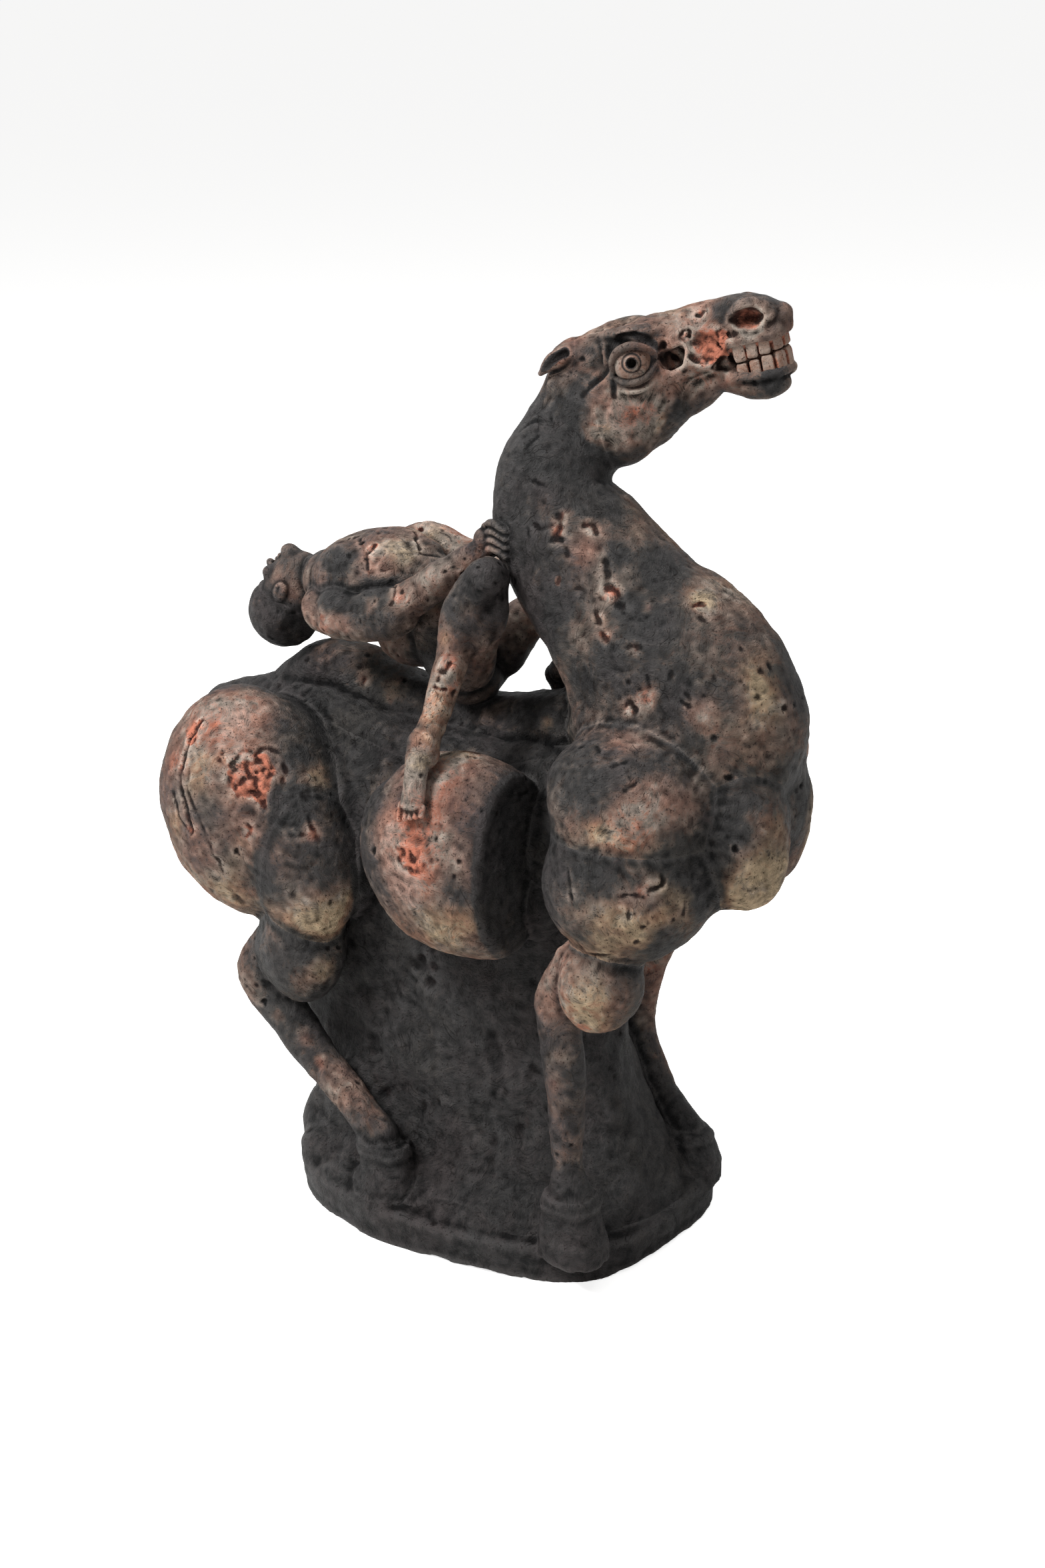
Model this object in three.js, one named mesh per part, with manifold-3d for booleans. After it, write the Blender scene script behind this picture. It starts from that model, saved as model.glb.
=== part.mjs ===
// Horse and rider in smoke fired terracotta, built up from separate lobes and coils of clay.
// Millimetres, +Z up, +X toward the horse's head, the horse's right side toward -Y.
// The origin is the middle of the underside of the base. Heights of all pieces are
// measured from the top of the base slab, so they rise and sink with its thickness.

import * as THREE from 'three';
import { mergeVertices } from 'three/addons/utils/BufferGeometryUtils.js';
import Module from 'manifold-3d';

const wasm = await Module();
wasm.setup();

// Driving dimensions

const seam = 0.3;                                  // slip joint between two pieces
const right = -1;
const left = 1;
const lobeFacets = { around: 12, down: 7 };
const haunchFacets = { around: 14, down: 7 };
const headFacets = { around: 10, down: 7 };
const palmFacets = { around: 7, down: 5 };

const slab = { front: 127, hind: 126, wide: 100, thick: 22, round: 3, squareFront: 3, squareHind: 2.2 };

// Rings of the rock from foot to crown: height, middle along the horse, half length, half width
const rock = {
  square: 2.6,
  rings: [
    [0, 0, 121, 93],
    [9, -1, 117, 87],
    [24, -6, 112, 70],
    [52, -18, 112, 58],
    [104, -32, 112, 49],
    [172, -18, 106, 46],
  ],
};

// Lobes: place of the middle (along, out from the middle plane, height), half sizes, lean in degrees
const haunch = { along: -142, out: 52, height: 219, half: [61, 52, 71], lean: -14 };
const thigh = { along: -90, out: 71, height: haunch.height - 27, half: [27, 24, 46], lean: -8 };
const gaskin = { along: -97, out: 68, height: thigh.height - 54, half: [26, 23, 34], lean: 8 };
const flank = { along: 18, out: 65, height: 220, half: [66, 44, 60], front: 51 };
const shoulder = { along: 122, out: 60, height: 273, half: [45, 40, 36], lean: 10 };
const upperArm = { along: 124, out: 64, height: 224, half: [48, 44, 41] };
const farUpperArm = { along: 78, out: 52, height: 238, half: [42, 37, 34] };
const forearm = { along: 116, out: 76, height: upperArm.height - 55, half: [24, 23, 29], lean: 14 };
const farForearm = { along: 82, out: 56, height: farUpperArm.height - 58, half: [24, 23, 29], lean: -8 };
const breast = { along: 176, out: 27, height: 250, half: [26.5, 26, 40], lean: -8 };
const farBreast = { along: 161, out: 25, height: 250, half: [26, 26, 44], lean: -4 };

// Hooves: place, half length and width at the sole, height to the coronet, slant of the front
const hindHoof = { along: -31, out: 78, half: [18, 17], tall: 33, draw: 0.72 };
const foreHoof = { along: 99, out: 79, half: [18, 17], tall: 34, draw: 0.72 };
const farForeHoof = { along: 108, out: 44, half: [17, 16], tall: 28, draw: 0.72 };

// Coils: stations of place along, out, height, half width across, half depth in the curve's plane
const hindLeg = [
  [-108, 62, gaskin.height + 8, 15, 17],
  [-134, 61, gaskin.height - 26, 16, 17],
  [-110, 64, 86, 13, 14],
  [-80, 70, 64, 11, 12],
  [-52, 76, 48, 11, 11],
  [-36, 78, 36, 12, 13],
];
const foreLeg = [
  [92, 66, forearm.height + 5, 11, 11],
  [84, 69, 146, 12, 14],
  [92, 74, 110, 11, 12],
  [95, 76, 80, 11, 11],
  [97, 78, 56, 9, 9],
  [99, 79, 38, 11, 12],
];
const farForeLeg = [
  [92, 58, farForearm.height - 12, 12, 12],
  [70, 54, 126, 12, 14],
  [66, 52, 84, 11, 11],
  [82, 50, 48, 10, 11],
  [104, 45, 28, 11, 12],
];
const trunk = [
  [-170, 0, 216, 34, 42],
  [-130, 0, 222, 49, 58],
  [-50, 0, 222, 49, 54],
  [30, 0, 222, 49, 54],
  [92, 0, 228, 49, 54],
  [124, 0, 236, 42, 46],
];
const ridge = [
  [-172, 6, haunch.height + 47, 13, 12],
  [-128, 10, haunch.height + 71, 22, 18],
  [-84, 12, 282, 22, 18],
  [-40, 12, 274, 21, 18],
  [4, 8, 277, 21, 18],
  [50, 4, 290, 20, 18],
];
const croup = [
  [-150, -4, haunch.height + 47, 16, 14],
  [-186, -2, haunch.height + 45, 15, 13],
  [-206, 0, haunch.height + 39, 13, 12],
];
const tail = [
  [-204, 0, haunch.height + 37, 12, 12],
  [-210, 2, haunch.height + 11, 12, 12],
  [-202, 4, haunch.height - 21, 11, 12],
  [-190, 6, haunch.height - 49, 9, 10],
];
const neck = [
  [132, 0, 262, 52, 56],
  [126, 0, 300, 54, 68],
  [110, 0, 328, 51, 65],
  [84, 0, 356, 47, 49],
  [58, 0, 382, 41, 45],
  [41, 0, 406, 36, 41],
  [36, 2, 428, 31, 34],
  [41, 8, 450, 25, 29],
  [48, 12, 470, 20, 25],
];

// Head: poll of the skull, turn to the horse's left, lift of the muzzle
const head = { along: 35, out: 12, height: 490, turn: 25, lift: 14 };

// Sections of the skull and the jaw, from the poll: forward, up, half width, half height
const skullSections = [
  [5, -15, 18, 20],
  [22, -23, 25, 37],
  [36, -20, 26, 36],
  [52, -10, 24, 27],
  [68, -3, 19, 20],
  [84, 1, 16, 15.5],
  [100, 2, 16.5, 15],
  [112, 0, 15.5, 13.5],
  [119, -3, 11, 8],
];
const jawSections = [
  [48, -34, 16, 15],
  [68, -28, 15, 14.5],
  [84, -25, 14.5, 10.5],
  [98, -32.5, 15, 9],
  [110, -34, 14.5, 8],
];
const eye = { forward: 42, out: 21, up: -4.5, ball: 10.8, rim: 2.4, pupil: 1.7, pupilDeep: 5 };
const nostril = { forward: 105, out: 13, up: 4, half: [9.5, 8, 5.2] };
const teeth = {
  arch: 11.5, middle: 110, back: 90,               // radius and middle of the front arc, rear end of the row
  pitch: 7, wide: 6.4, deep: 5, taper: 0.86,       // one tooth, and its spacing along the row
  bite: -18.5, clench: 0.6, upperTall: 7.5, lowerTall: 8.5,
  root: 2.6,                                       // sunk into the bar of gum
};
const earSections = [
  [14, 9, 5, 5, 5],
  [5, 11, 6, 7, 6],
  [-3, 13, 4, 6, 5],
  [-12, 12, -1, 2.2, 2.2],
];
const earGroove = { shift: 4.5, half: 2.2 };

// The rider
const riderTorso = [
  [-114, -6, 352, 22, 17],
  [-98, -6, 356, 32, 24],
  [-72, -4, 360, 32, 26],
  [-50, -4, 354, 24, 22],
];
const riderWaist = [
  [-46, -4, 352, 22, 19],
  [-40, -4, 336, 19, 16],
  [-32, -3, 318, 22, 18],
  [-18, -2, 306, 24, 17],
];
const riderLowerBack = { along: -62, out: 8, height: 322, half: [27, 22, 20] };
const riderNeck = [
  [-112, -5, 356, 11, 11],
  [-128, -5, 352, 10, 10],
  [-142, -5, 344, 11, 11],
];
const riderHead = { along: -146, out: -5, height: 340, half: [20, 19, 25], lean: 28 };
const riderHair = { along: -154, out: -5, height: 326, half: [22, 23, 23], lean: 28 };
const riderRightArm = [
  [-104, -28, 339, 14, 15],
  [-88, -33, 338, 14, 15],
  [-56, -36, 344, 12, 14],
  [-40, -34, 354, 11, 11],
  [-16, -28, 372, 8, 9],
  [3, -22, 387, 7, 7],
];
const riderLeftArm = [
  [-96, 24, 358, 14, 13],
  [-74, 32, 370, 13, 13],
  [-48, 35, 366, 11, 11],
  [-22, 31, 364, 9, 9],
  [0, 25, 370, 7, 7],
];
const riderRightLeg = [
  [-10, -20, 318, 16, 16],
  [8, -34, 352, 15, 15],
  [20, -43, 378, 12, 12],
  [8, -48, 356, 12, 12],
  [4, -58, 326, 9, 10],
  [4, -72, 302, 7, 7],
  [4, -84, 288, 7, 7],
];
const riderLeftLeg = [
  [-10, 16, 318, 16, 15],
  [16, 22, 345, 13, 13],
  [45, 27, 342, 11, 12],
  [36, 31, 324, 9, 9],
  [24, 33, 308, 8, 8],
];
const hand = { fingers: 4, thick: 2.7, spacing: 4.8, palm: [7, 7, 7] };
const rightGrip = [[6, 23, 394], [14, 29, 398], [26, 33, 396]];
const leftGrip = [[4, 24, 377], [14, 31, 380], [27, 36, 378]];
const foot = { toes: 5, thick: 2.5, spacing: 3.6, long: 8 };
const rightSole = [[2, 85, 290, 7, 7], [6, 95, 270, 8.5, 5], [10, 102, 256, 9.5, 4.2]];
const leftSole = [[18, 34, 303, 7, 7], [32, 38, 299, 8, 5], [48, 40, 298, 8.5, 4]];

// Fired clay colours
const clay = {
  charcoal: { color: 0x2b2b2c, roughness: 0.86, metalness: 0 },
  smoke: { color: 0x4d4843, roughness: 0.85, metalness: 0 },
  greyBrown: { color: 0x6b5f56, roughness: 0.84, metalness: 0 },
  rose: { color: 0x86695e, roughness: 0.84, metalness: 0 },
  olive: { color: 0x8c7f5e, roughness: 0.82, metalness: 0 },
  orange: { color: 0xa5583c, roughness: 0.88, metalness: 0 },
  tooth: { color: 0x9c8f86, roughness: 0.7, metalness: 0 },
};

// Helpers

const degrees = THREE.MathUtils.degToRad;
const lengthwise = new THREE.Vector3(1, 0, 0);

// A point of the body, with its height taken from the top of the slab
function place(along, out, height, side = left) {
  return new THREE.Vector3(along, side * out, slab.thick + height);
}

// A closed solid from a geometry: shared vertices merged, empty triangles dropped, faces turned outward
function toSolid(geometry) {
  geometry.deleteAttribute('normal');
  geometry.deleteAttribute('uv');
  const merged = mergeVertices(geometry, 1e-4);
  const index = merged.index.array;
  const kept = [];
  for (let i = 0; i < index.length; i += 3) {
    const [a, b, c] = [index[i], index[i + 1], index[i + 2]];
    if (a !== b && b !== c && c !== a) kept.push(a, b, c);
  }
  const vertProperties = new Float32Array(merged.attributes.position.array);
  const wrap = (corners) =>
    new wasm.Manifold(new wasm.Mesh({ numProp: 3, vertProperties, triVerts: new Uint32Array(corners) }));
  const solid = wrap(kept);
  return solid.volume() > 0 ? solid : wrap(kept.reverse());
}

function toMesh(name, solid, finish) {
  const { vertProperties, triVerts } = solid.getMesh();
  const geometry = new THREE.BufferGeometry();
  geometry.setAttribute('position', new THREE.BufferAttribute(vertProperties, 3));
  geometry.setIndex(new THREE.BufferAttribute(triVerts, 1));
  geometry.computeVertexNormals();
  const mesh = new THREE.Mesh(geometry, new THREE.MeshStandardMaterial(clay[finish]));
  mesh.name = name;
  return mesh;
}

// A lobe: a ball drawn out to three half sizes and leant along the body
function lobe({ along, out, height, half, lean = 0 }, side = left, grow = 0, facets = lobeFacets) {
  const geometry = new THREE.SphereGeometry(1, facets.around, facets.down);
  geometry.rotateX(Math.PI / 2);
  geometry.scale(half[0] + grow, half[1] + grow, half[2] + grow);
  geometry.rotateY(degrees(lean));
  const middle = place(along, out, height, side);
  geometry.translate(middle.x, middle.y, middle.z);
  return toSolid(geometry);
}

// A coil: rings carried along a smooth curve through its stations, each with a width across
// and a depth in the curve's plane, closed by a dome at either end
function coil(stations, { sides = 8, steps = 1, across = new THREE.Vector3(0, 1, 0), grow = 0 } = {}) {
  const path = new THREE.CatmullRomCurve3(stations.map((s) => s.point), false, 'centripetal');
  const girth = new THREE.CatmullRomCurve3(stations.map((s) => new THREE.Vector3(s.wide, s.deep, 0)));
  const last = (stations.length - 1) * steps;
  const domeAngle = Math.PI / 4;
  const rings = [];
  const addRing = (ring, shrink, shift) => {
    const t = ring / last;
    const ahead = path.getTangent(t);
    const depth = new THREE.Vector3().crossVectors(ahead, across).normalize();
    const width = new THREE.Vector3().crossVectors(depth, ahead).normalize();
    const size = girth.getPoint(t);
    const reach = shift * (Math.min(size.x, size.y) + grow);
    rings.push({
      middle: path.getPoint(t).addScaledVector(ahead, reach),
      depth: depth.multiplyScalar(shrink * (size.y + grow)),
      width: width.multiplyScalar(shrink * (size.x + grow)),
    });
  };
  addRing(0, 0, -1);
  addRing(0, Math.cos(domeAngle), -Math.sin(domeAngle));
  for (let ring = 0; ring <= last; ring++) addRing(ring, 1, 0);
  addRing(last, Math.cos(domeAngle), Math.sin(domeAngle));
  addRing(last, 0, 1);

  const profile = rings.map((_, k) => new THREE.Vector2(k === 0 || k === rings.length - 1 ? 0 : 1, k));
  const geometry = new THREE.LatheGeometry(profile, sides);
  const position = geometry.attributes.position;
  const point = new THREE.Vector3();
  for (let i = 0; i < position.count; i++) {
    const { middle, depth, width } = rings[Math.round(position.getY(i))];
    point.copy(middle).addScaledVector(width, position.getX(i)).addScaledVector(depth, position.getZ(i));
    position.setXYZ(i, point.x, point.y, point.z);
  }
  return geometry;
}

function bodyStations(list, side = left) {
  return list.map(([along, out, height, wide, deep]) => {
    return { point: place(along, out, height, side), wide, deep };
  });
}

function bodyCoil(list, side = left, options = {}) {
  return toSolid(coil(bodyStations(list, side), options));
}

// Half size of a squared oval in a direction
function squaredOval(angle, halfLong, halfWide, square) {
  const c = Math.abs(Math.cos(angle)) / halfLong;
  const s = Math.abs(Math.sin(angle)) / halfWide;
  return (c ** square + s ** square) ** (-1 / square);
}

// The slab: a squared oval, blunter at the front than behind, with its edges eased
function slabSolid(grow) {
  const outline = [];
  const corners = 24;
  for (let k = 0; k < corners; k++) {
    const angle = (k / corners) * 2 * Math.PI;
    const toFront = (1 + Math.cos(angle)) / 2;
    const square = THREE.MathUtils.lerp(slab.squareHind, slab.squareFront, toFront);
    const halfLong = Math.cos(angle) >= 0 ? slab.front : slab.hind;
    const reach = squaredOval(angle, halfLong + grow, slab.wide + grow, square);
    outline.push(new THREE.Vector2(reach * Math.cos(angle), reach * Math.sin(angle)));
  }
  const geometry = new THREE.ExtrudeGeometry(new THREE.Shape(outline), {
    depth: slab.thick - 2 * slab.round + grow,
    bevelSize: slab.round,
    bevelThickness: slab.round,
    bevelOffset: -slab.round,
    bevelSegments: 1,
  });
  geometry.translate(0, 0, slab.round);
  return toSolid(geometry);
}

// The rock: squared ovals stacked from the slab up into the belly
function rockSolid(grow) {
  const rings = rock.rings;
  const profile = [new THREE.Vector2(0, 0)];
  rings.forEach((_, k) => profile.push(new THREE.Vector2(1, k)));
  profile.push(new THREE.Vector2(0, rings.length - 1));
  const geometry = new THREE.LatheGeometry(profile, 16);
  const position = geometry.attributes.position;
  for (let i = 0; i < position.count; i++) {
    const k = Math.round(position.getY(i));
    const [height, middle, halfLong, halfWide] = rings[k];
    const [sine, cosine] = [position.getX(i), position.getZ(i)];
    const atEdge = Math.hypot(sine, cosine) > 0.5;
    const angle = Math.atan2(sine, cosine);
    const reach = atEdge ? squaredOval(angle, halfLong + grow, halfWide + grow, rock.square) : 0;
    const lift = k === rings.length - 1 ? grow : 0;
    const z = slab.thick + seam + height + lift;
    position.setXYZ(i, middle + reach * Math.cos(angle), reach * Math.sin(angle), z);
  }
  return toSolid(geometry);
}

// A hoof: a drawn-in cone with a rolled coronet, standing flat on the slab
function hoofSolid({ along, out, half, tall, draw }, side, grow) {
  const belly = 1.05;
  const profile = [
    [0, seam - grow],
    [0.94, seam - grow],
    [belly, tall * 0.3],
    [draw + 0.12, tall * 0.78],
    [draw, tall + grow],
    [0, tall + grow],
  ].map(([radius, height]) => new THREE.Vector2(radius, height));
  const geometry = new THREE.LatheGeometry(profile, 12);
  const position = geometry.attributes.position;
  for (let i = 0; i < position.count; i++) {
    const [x, height, y] = [position.getX(i), position.getY(i), position.getZ(i)];
    const stretch = (size) => size + (Math.hypot(x, y) > 0.1 ? grow / Math.hypot(x, y) : 0);
    const middle = place(along, out, height, side);
    position.setXYZ(i, middle.x + x * stretch(half[0]), middle.y + y * stretch(half[1]), middle.z);
  }
  return toSolid(geometry);
}

// The flank lobe is sliced off square at the front
function flankSolid(side, grow) {
  const { out, height, half, front } = flank;
  const block = new THREE.BoxGeometry(2 * half[0], 4 * half[1], 4 * half[2]);
  const middle = place(front + grow - half[0], out, height, side);
  block.translate(middle.x, middle.y, middle.z);
  return lobe(flank, side, grow).intersect(toSolid(block));
}

// The head's own frame: forward along the nose, out to the left, up from the mouth
const headFrame = new THREE.Matrix4()
  .makeTranslation(place(head.along, head.out, head.height))
  .multiply(new THREE.Matrix4().makeRotationZ(degrees(head.turn)))
  .multiply(new THREE.Matrix4().makeRotationY(-degrees(head.lift)));

const headUp = new THREE.Vector3().setFromMatrixColumn(headFrame, 2);

function headCoil(list, options) {
  const stations = list.map(([forward, up, wide, deep]) => {
    return { point: new THREE.Vector3(forward, 0, up), wide, deep };
  });
  return toSolid(coil(stations, options).applyMatrix4(headFrame));
}

function headLobe({ forward, out, up, half }, side, grow = 0) {
  const geometry = new THREE.SphereGeometry(1, headFacets.around, headFacets.down);
  geometry.scale(half[0] + grow, half[1] + grow, half[2] + grow);
  geometry.translate(forward, side * out, up);
  return toSolid(geometry.applyMatrix4(headFrame));
}

function eyeballSolid(side, grow) {
  const ball = [eye.ball, eye.ball, eye.ball];
  const solid = headLobe({ ...eye, half: ball }, side, grow);
  if (grow > 0) return solid;
  const hole = new THREE.CylinderGeometry(eye.pupil, eye.pupil, 2 * eye.pupilDeep, 8);
  hole.translate(eye.forward, side * (eye.out + eye.ball), eye.up);
  return solid.subtract(toSolid(hole.applyMatrix4(headFrame)));
}

function eyeRimSolid(side, grow) {
  const ring = eye.ball + eye.rim + seam;
  const geometry = new THREE.TorusGeometry(ring, eye.rim + grow, 5, 12);
  geometry.rotateX(Math.PI / 2);
  geometry.translate(eye.forward, side * (eye.out + eye.rim), eye.up);
  return toSolid(geometry.applyMatrix4(headFrame));
}

// Where a row of teeth runs: a half circle across the front, then straight back on each side
function alongRow(distance) {
  const quarter = (teeth.arch * Math.PI) / 2;
  const side = Math.sign(distance);
  const run = Math.abs(distance);
  if (run <= quarter) {
    const angle = distance / teeth.arch;
    return { forward: teeth.middle + teeth.arch * Math.cos(angle), out: teeth.arch * Math.sin(angle), angle };
  }
  return { forward: teeth.middle - (run - quarter), out: side * teeth.arch, angle: (side * Math.PI) / 2 };
}

// The slot that a row of teeth stands in: a horseshoe bar around the whole row
function teethSlot(tall, direction, rowHalf, grow) {
  const curveSegments = 6;
  const corner = Math.hypot(teeth.arch + teeth.deep / 2, teeth.wide / 2);
  const outer = corner / Math.cos(Math.PI / 2 / curveSegments) + grow;
  const inner = teeth.arch - teeth.deep / 2 - grow;
  const rear = teeth.middle - (rowHalf - (teeth.arch * Math.PI) / 2) - grow;
  const outline = new THREE.Shape();
  outline.moveTo(rear, -outer);
  outline.lineTo(teeth.middle, -outer);
  outline.absarc(teeth.middle, 0, outer, -Math.PI / 2, Math.PI / 2, false);
  outline.lineTo(rear, outer);
  outline.lineTo(rear, inner);
  outline.absarc(teeth.middle, 0, inner, Math.PI / 2, -Math.PI / 2, true);
  outline.lineTo(rear, -inner);
  const depth = tall + teeth.root + 2 * grow;
  const slot = new THREE.ExtrudeGeometry(outline, { depth, bevelEnabled: false, curveSegments });
  const near = teeth.bite + direction * (teeth.clench - grow);
  slot.translate(0, 0, direction > 0 ? near : near - depth);
  return toSolid(slot.applyMatrix4(headFrame));
}

// One row: separate rounded blocks side by side, joined by the bar of gum that their roots stand in
function teethSolid(tall, direction, grow) {
  const rowHalf = (teeth.arch * Math.PI) / 2 + teeth.middle - teeth.back;
  if (grow > 0) return teethSlot(tall, direction, rowHalf, grow);
  const count = 2 * Math.floor(rowHalf / teeth.pitch);
  const edge = teeth.bite + direction * teeth.clench;
  const rooted = tall + teeth.root / 2;
  const gum = teethSlot(0, direction, rowHalf - seam, 0);
  let row = gum.translate(headUp.clone().multiplyScalar(direction * tall).toArray());
  for (let k = 0; k < count; k++) {
    const { forward, out, angle } = alongRow((k - (count - 1) / 2) * teeth.pitch);
    const block = new THREE.CylinderGeometry(Math.SQRT1_2, Math.SQRT1_2 * teeth.taper, rooted, 4);
    block.rotateY(Math.PI / 4);
    block.rotateX(Math.PI / 2);
    block.scale(teeth.deep, teeth.wide, 1);
    block.translate(0, 0, rooted / 2);
    if (direction < 0) block.rotateX(Math.PI);
    block.rotateZ(angle);
    block.translate(forward, out, edge);
    row = row.add(toSolid(block.applyMatrix4(headFrame)));
  }
  return row;
}

function skullSolid(grow) {
  const solid = headCoil(skullSections, { sides: 12, grow });
  if (grow > 0) return solid;
  return solid.subtract(headLobe(nostril, right)).subtract(headLobe(nostril, left));
}

function jawSolid(grow) {
  return headCoil(jawSections, { sides: 10, grow });
}

// An ear laid back along the neck, with a groove down its outer side
function earSolid(side, grow) {
  const stations = (shift, size) =>
    earSections.map(([forward, out, up, wide, deep]) => ({
      point: new THREE.Vector3(forward, side * (out + shift), up + shift / 2),
      wide: size ?? wide,
      deep: size ?? deep,
    }));
  const body = toSolid(coil(stations(0), { sides: 8, grow }).applyMatrix4(headFrame));
  if (grow > 0) return body;
  const cut = stations(earGroove.shift, earGroove.half).slice(1);
  return body.subtract(toSolid(coil(cut, { sides: 5 }).applyMatrix4(headFrame)));
}

// A hand gripping the neck: a pad of palm, and fingers side by side down the mane
function handSolid(grip, side, grow) {
  const [start, knuckle, tip] = grip;
  const palm = { along: start[0], out: start[1], height: start[2], half: hand.palm };
  let solid = lobe(palm, side, grow, palmFacets);
  for (let k = 0; k < hand.fingers; k++) {
    const drop = (k - (hand.fingers - 1) / 2) * hand.spacing;
    const list = [start, knuckle, tip].map(([along, out, height]) => [
      along, out, height - drop, hand.thick, hand.thick,
    ]);
    solid = solid.add(bodyCoil(list, side, { sides: 5, grow }));
  }
  return solid;
}

// A foot: heel and sole in one coil, and short toes fanned at its end
function footSolid(sole, side, grow) {
  let solid = bodyCoil(sole, side, { grow, across: lengthwise });
  const [ball, end] = sole.slice(-2);
  const ahead = new THREE.Vector3(end[0] - ball[0], end[1] - ball[1], end[2] - ball[2]).normalize();
  for (let k = 0; k < foot.toes; k++) {
    const aside = (k - (foot.toes - 1) / 2) * foot.spacing;
    const root = [end[0] + aside, end[1], end[2], foot.thick, foot.thick];
    const tip = [root[0] + ahead.x * foot.long, root[1] + ahead.y * foot.long, root[2] + ahead.z * foot.long];
    const list = [root, [...tip, foot.thick * 0.9, foot.thick * 0.9]];
    solid = solid.add(bodyCoil(list, side, { sides: 5, grow, across: lengthwise }));
  }
  return solid;
}

// The rider's loins, with the lump of the lower back that rests on the ridge
function riderWaistSolid(grow) {
  const loins = bodyCoil(riderWaist, left, { grow, sides: 10 });
  return loins.add(lobe(riderLowerBack, left, grow));
}

// The pieces in the order in which they were luted: each one keeps its full form,
// and every piece further down the list is scooped out to seat it

const pieces = [];
const sides = [['right', right], ['left', left]];

function piece(name, finish, form) {
  pieces.push({ name, finish, form });
}

function pair(name, finish, form) {
  for (const [word, side] of sides) {
    piece(`${name}_${word}`, finish, (grow) => form(side, grow));
  }
}

piece('base_slab', 'charcoal', slabSolid);
pair('haunch', 'rose', (side, grow) => lobe(haunch, side, grow, haunchFacets));
pair('flank_lobe', 'rose', flankSolid);
pair('shoulder_lobe', 'rose', (side, grow) => lobe(shoulder, side, grow));
piece('upper_arm_lobe_right', 'olive', (grow) => lobe(upperArm, right, grow));
piece('upper_arm_lobe_left', 'olive', (grow) => lobe(farUpperArm, left, grow));
piece('breast_lobe_right', 'greyBrown', (grow) => lobe(breast, right, grow));
piece('breast_lobe_left', 'greyBrown', (grow) => lobe(farBreast, left, grow));
pair('thigh', 'greyBrown', (side, grow) => lobe(thigh, side, grow));
pair('gaskin', 'orange', (side, grow) => lobe(gaskin, side, grow));
piece('forearm_right', 'olive', (grow) => lobe(forearm, right, grow));
piece('forearm_left', 'olive', (grow) => lobe(farForearm, left, grow));
pair('hind_hoof', 'charcoal', (side, grow) => hoofSolid(hindHoof, side, grow));
piece('fore_hoof_right', 'charcoal', (grow) => hoofSolid(foreHoof, right, grow));
piece('fore_hoof_left', 'charcoal', (grow) => hoofSolid(farForeHoof, left, grow));
pair('hind_leg', 'smoke', (side, grow) => bodyCoil(hindLeg, side, { grow }));
piece('fore_leg_right', 'smoke', (grow) => bodyCoil(foreLeg, right, { grow }));
piece('fore_leg_left', 'smoke', (grow) => bodyCoil(farForeLeg, left, { grow }));
pair('eyeball', 'greyBrown', eyeballSolid);
pair('eye_rim', 'smoke', eyeRimSolid);
piece('upper_teeth', 'tooth', (grow) => teethSolid(teeth.upperTall, 1, grow));
piece('lower_teeth', 'tooth', (grow) => teethSolid(teeth.lowerTall, -1, grow));
pair('ear', 'smoke', earSolid);
piece('skull', 'greyBrown', skullSolid);
piece('lower_jaw', 'greyBrown', jawSolid);
piece('rider_head', 'smoke', (grow) => lobe(riderHead, left, grow));
piece('rider_hair', 'charcoal', (grow) => lobe(riderHair, left, grow));
pair('rider_hand', 'smoke', (side, grow) => handSolid(side === right ? rightGrip : leftGrip, side, grow));
pair('rider_foot', 'smoke', (side, grow) => footSolid(side === right ? rightSole : leftSole, side, grow));
piece('rider_arm_right', 'smoke', (grow) => bodyCoil(riderRightArm, left, { grow }));
piece('rider_arm_left', 'smoke', (grow) => bodyCoil(riderLeftArm, left, { grow }));
piece('rider_leg_right', 'smoke', (grow) => bodyCoil(riderRightLeg, left, { grow, across: lengthwise }));
piece('rider_leg_left', 'smoke', (grow) => bodyCoil(riderLeftLeg, left, { grow }));
piece('rider_torso', 'rose', (grow) => bodyCoil(riderTorso, left, { grow, sides: 12 }));
piece('rider_waist', 'smoke', riderWaistSolid);
piece('rider_neck', 'smoke', (grow) => bodyCoil(riderNeck, left, { grow }));
piece('neck', 'greyBrown', (grow) => bodyCoil(neck, left, { grow, sides: 12 }));
piece('back_ridge', 'greyBrown', (grow) => bodyCoil(ridge, left, { grow, sides: 10 }));
piece('croup', 'smoke', (grow) => bodyCoil(croup, left, { grow }));
piece('tail', 'charcoal', (grow) => bodyCoil(tail, left, { grow }));
piece('trunk', 'charcoal', (grow) => bodyCoil(trunk, left, { grow, sides: 10 }));
piece('rock_support', 'charcoal', rockSolid);

function apart(a, b) {
  const [p, q] = [a.boundingBox(), b.boundingBox()];
  return [0, 1, 2].some((i) => p.min[i] > q.max[i] || q.min[i] > p.max[i]);
}

const group = new THREE.Group();
const seated = [];
for (const { name, finish, form } of pieces) {
  let solid = form(0);
  for (const grown of seated) {
    if (!apart(solid, grown)) solid = solid.subtract(grown);
  }
  const parts = solid.decompose().sort((a, b) => b.volume() - a.volume());
  group.add(toMesh(name, parts[0], finish));
  seated.push(form(seam));
}

export default group;
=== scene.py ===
# Horse and rider in smoke-fired terracotta, pressed together by hand from lobes and coils of clay.
# The clay is one skin: every piece is the part of it that lies nearest to its own core, and it
# dives under its neighbours where they meet, as slip-joined clay does.
# Lengths are millimetres until a mesh is made, and heights are taken from the top of the base slab.

import math
import time
from concurrent.futures import ThreadPoolExecutor

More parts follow.
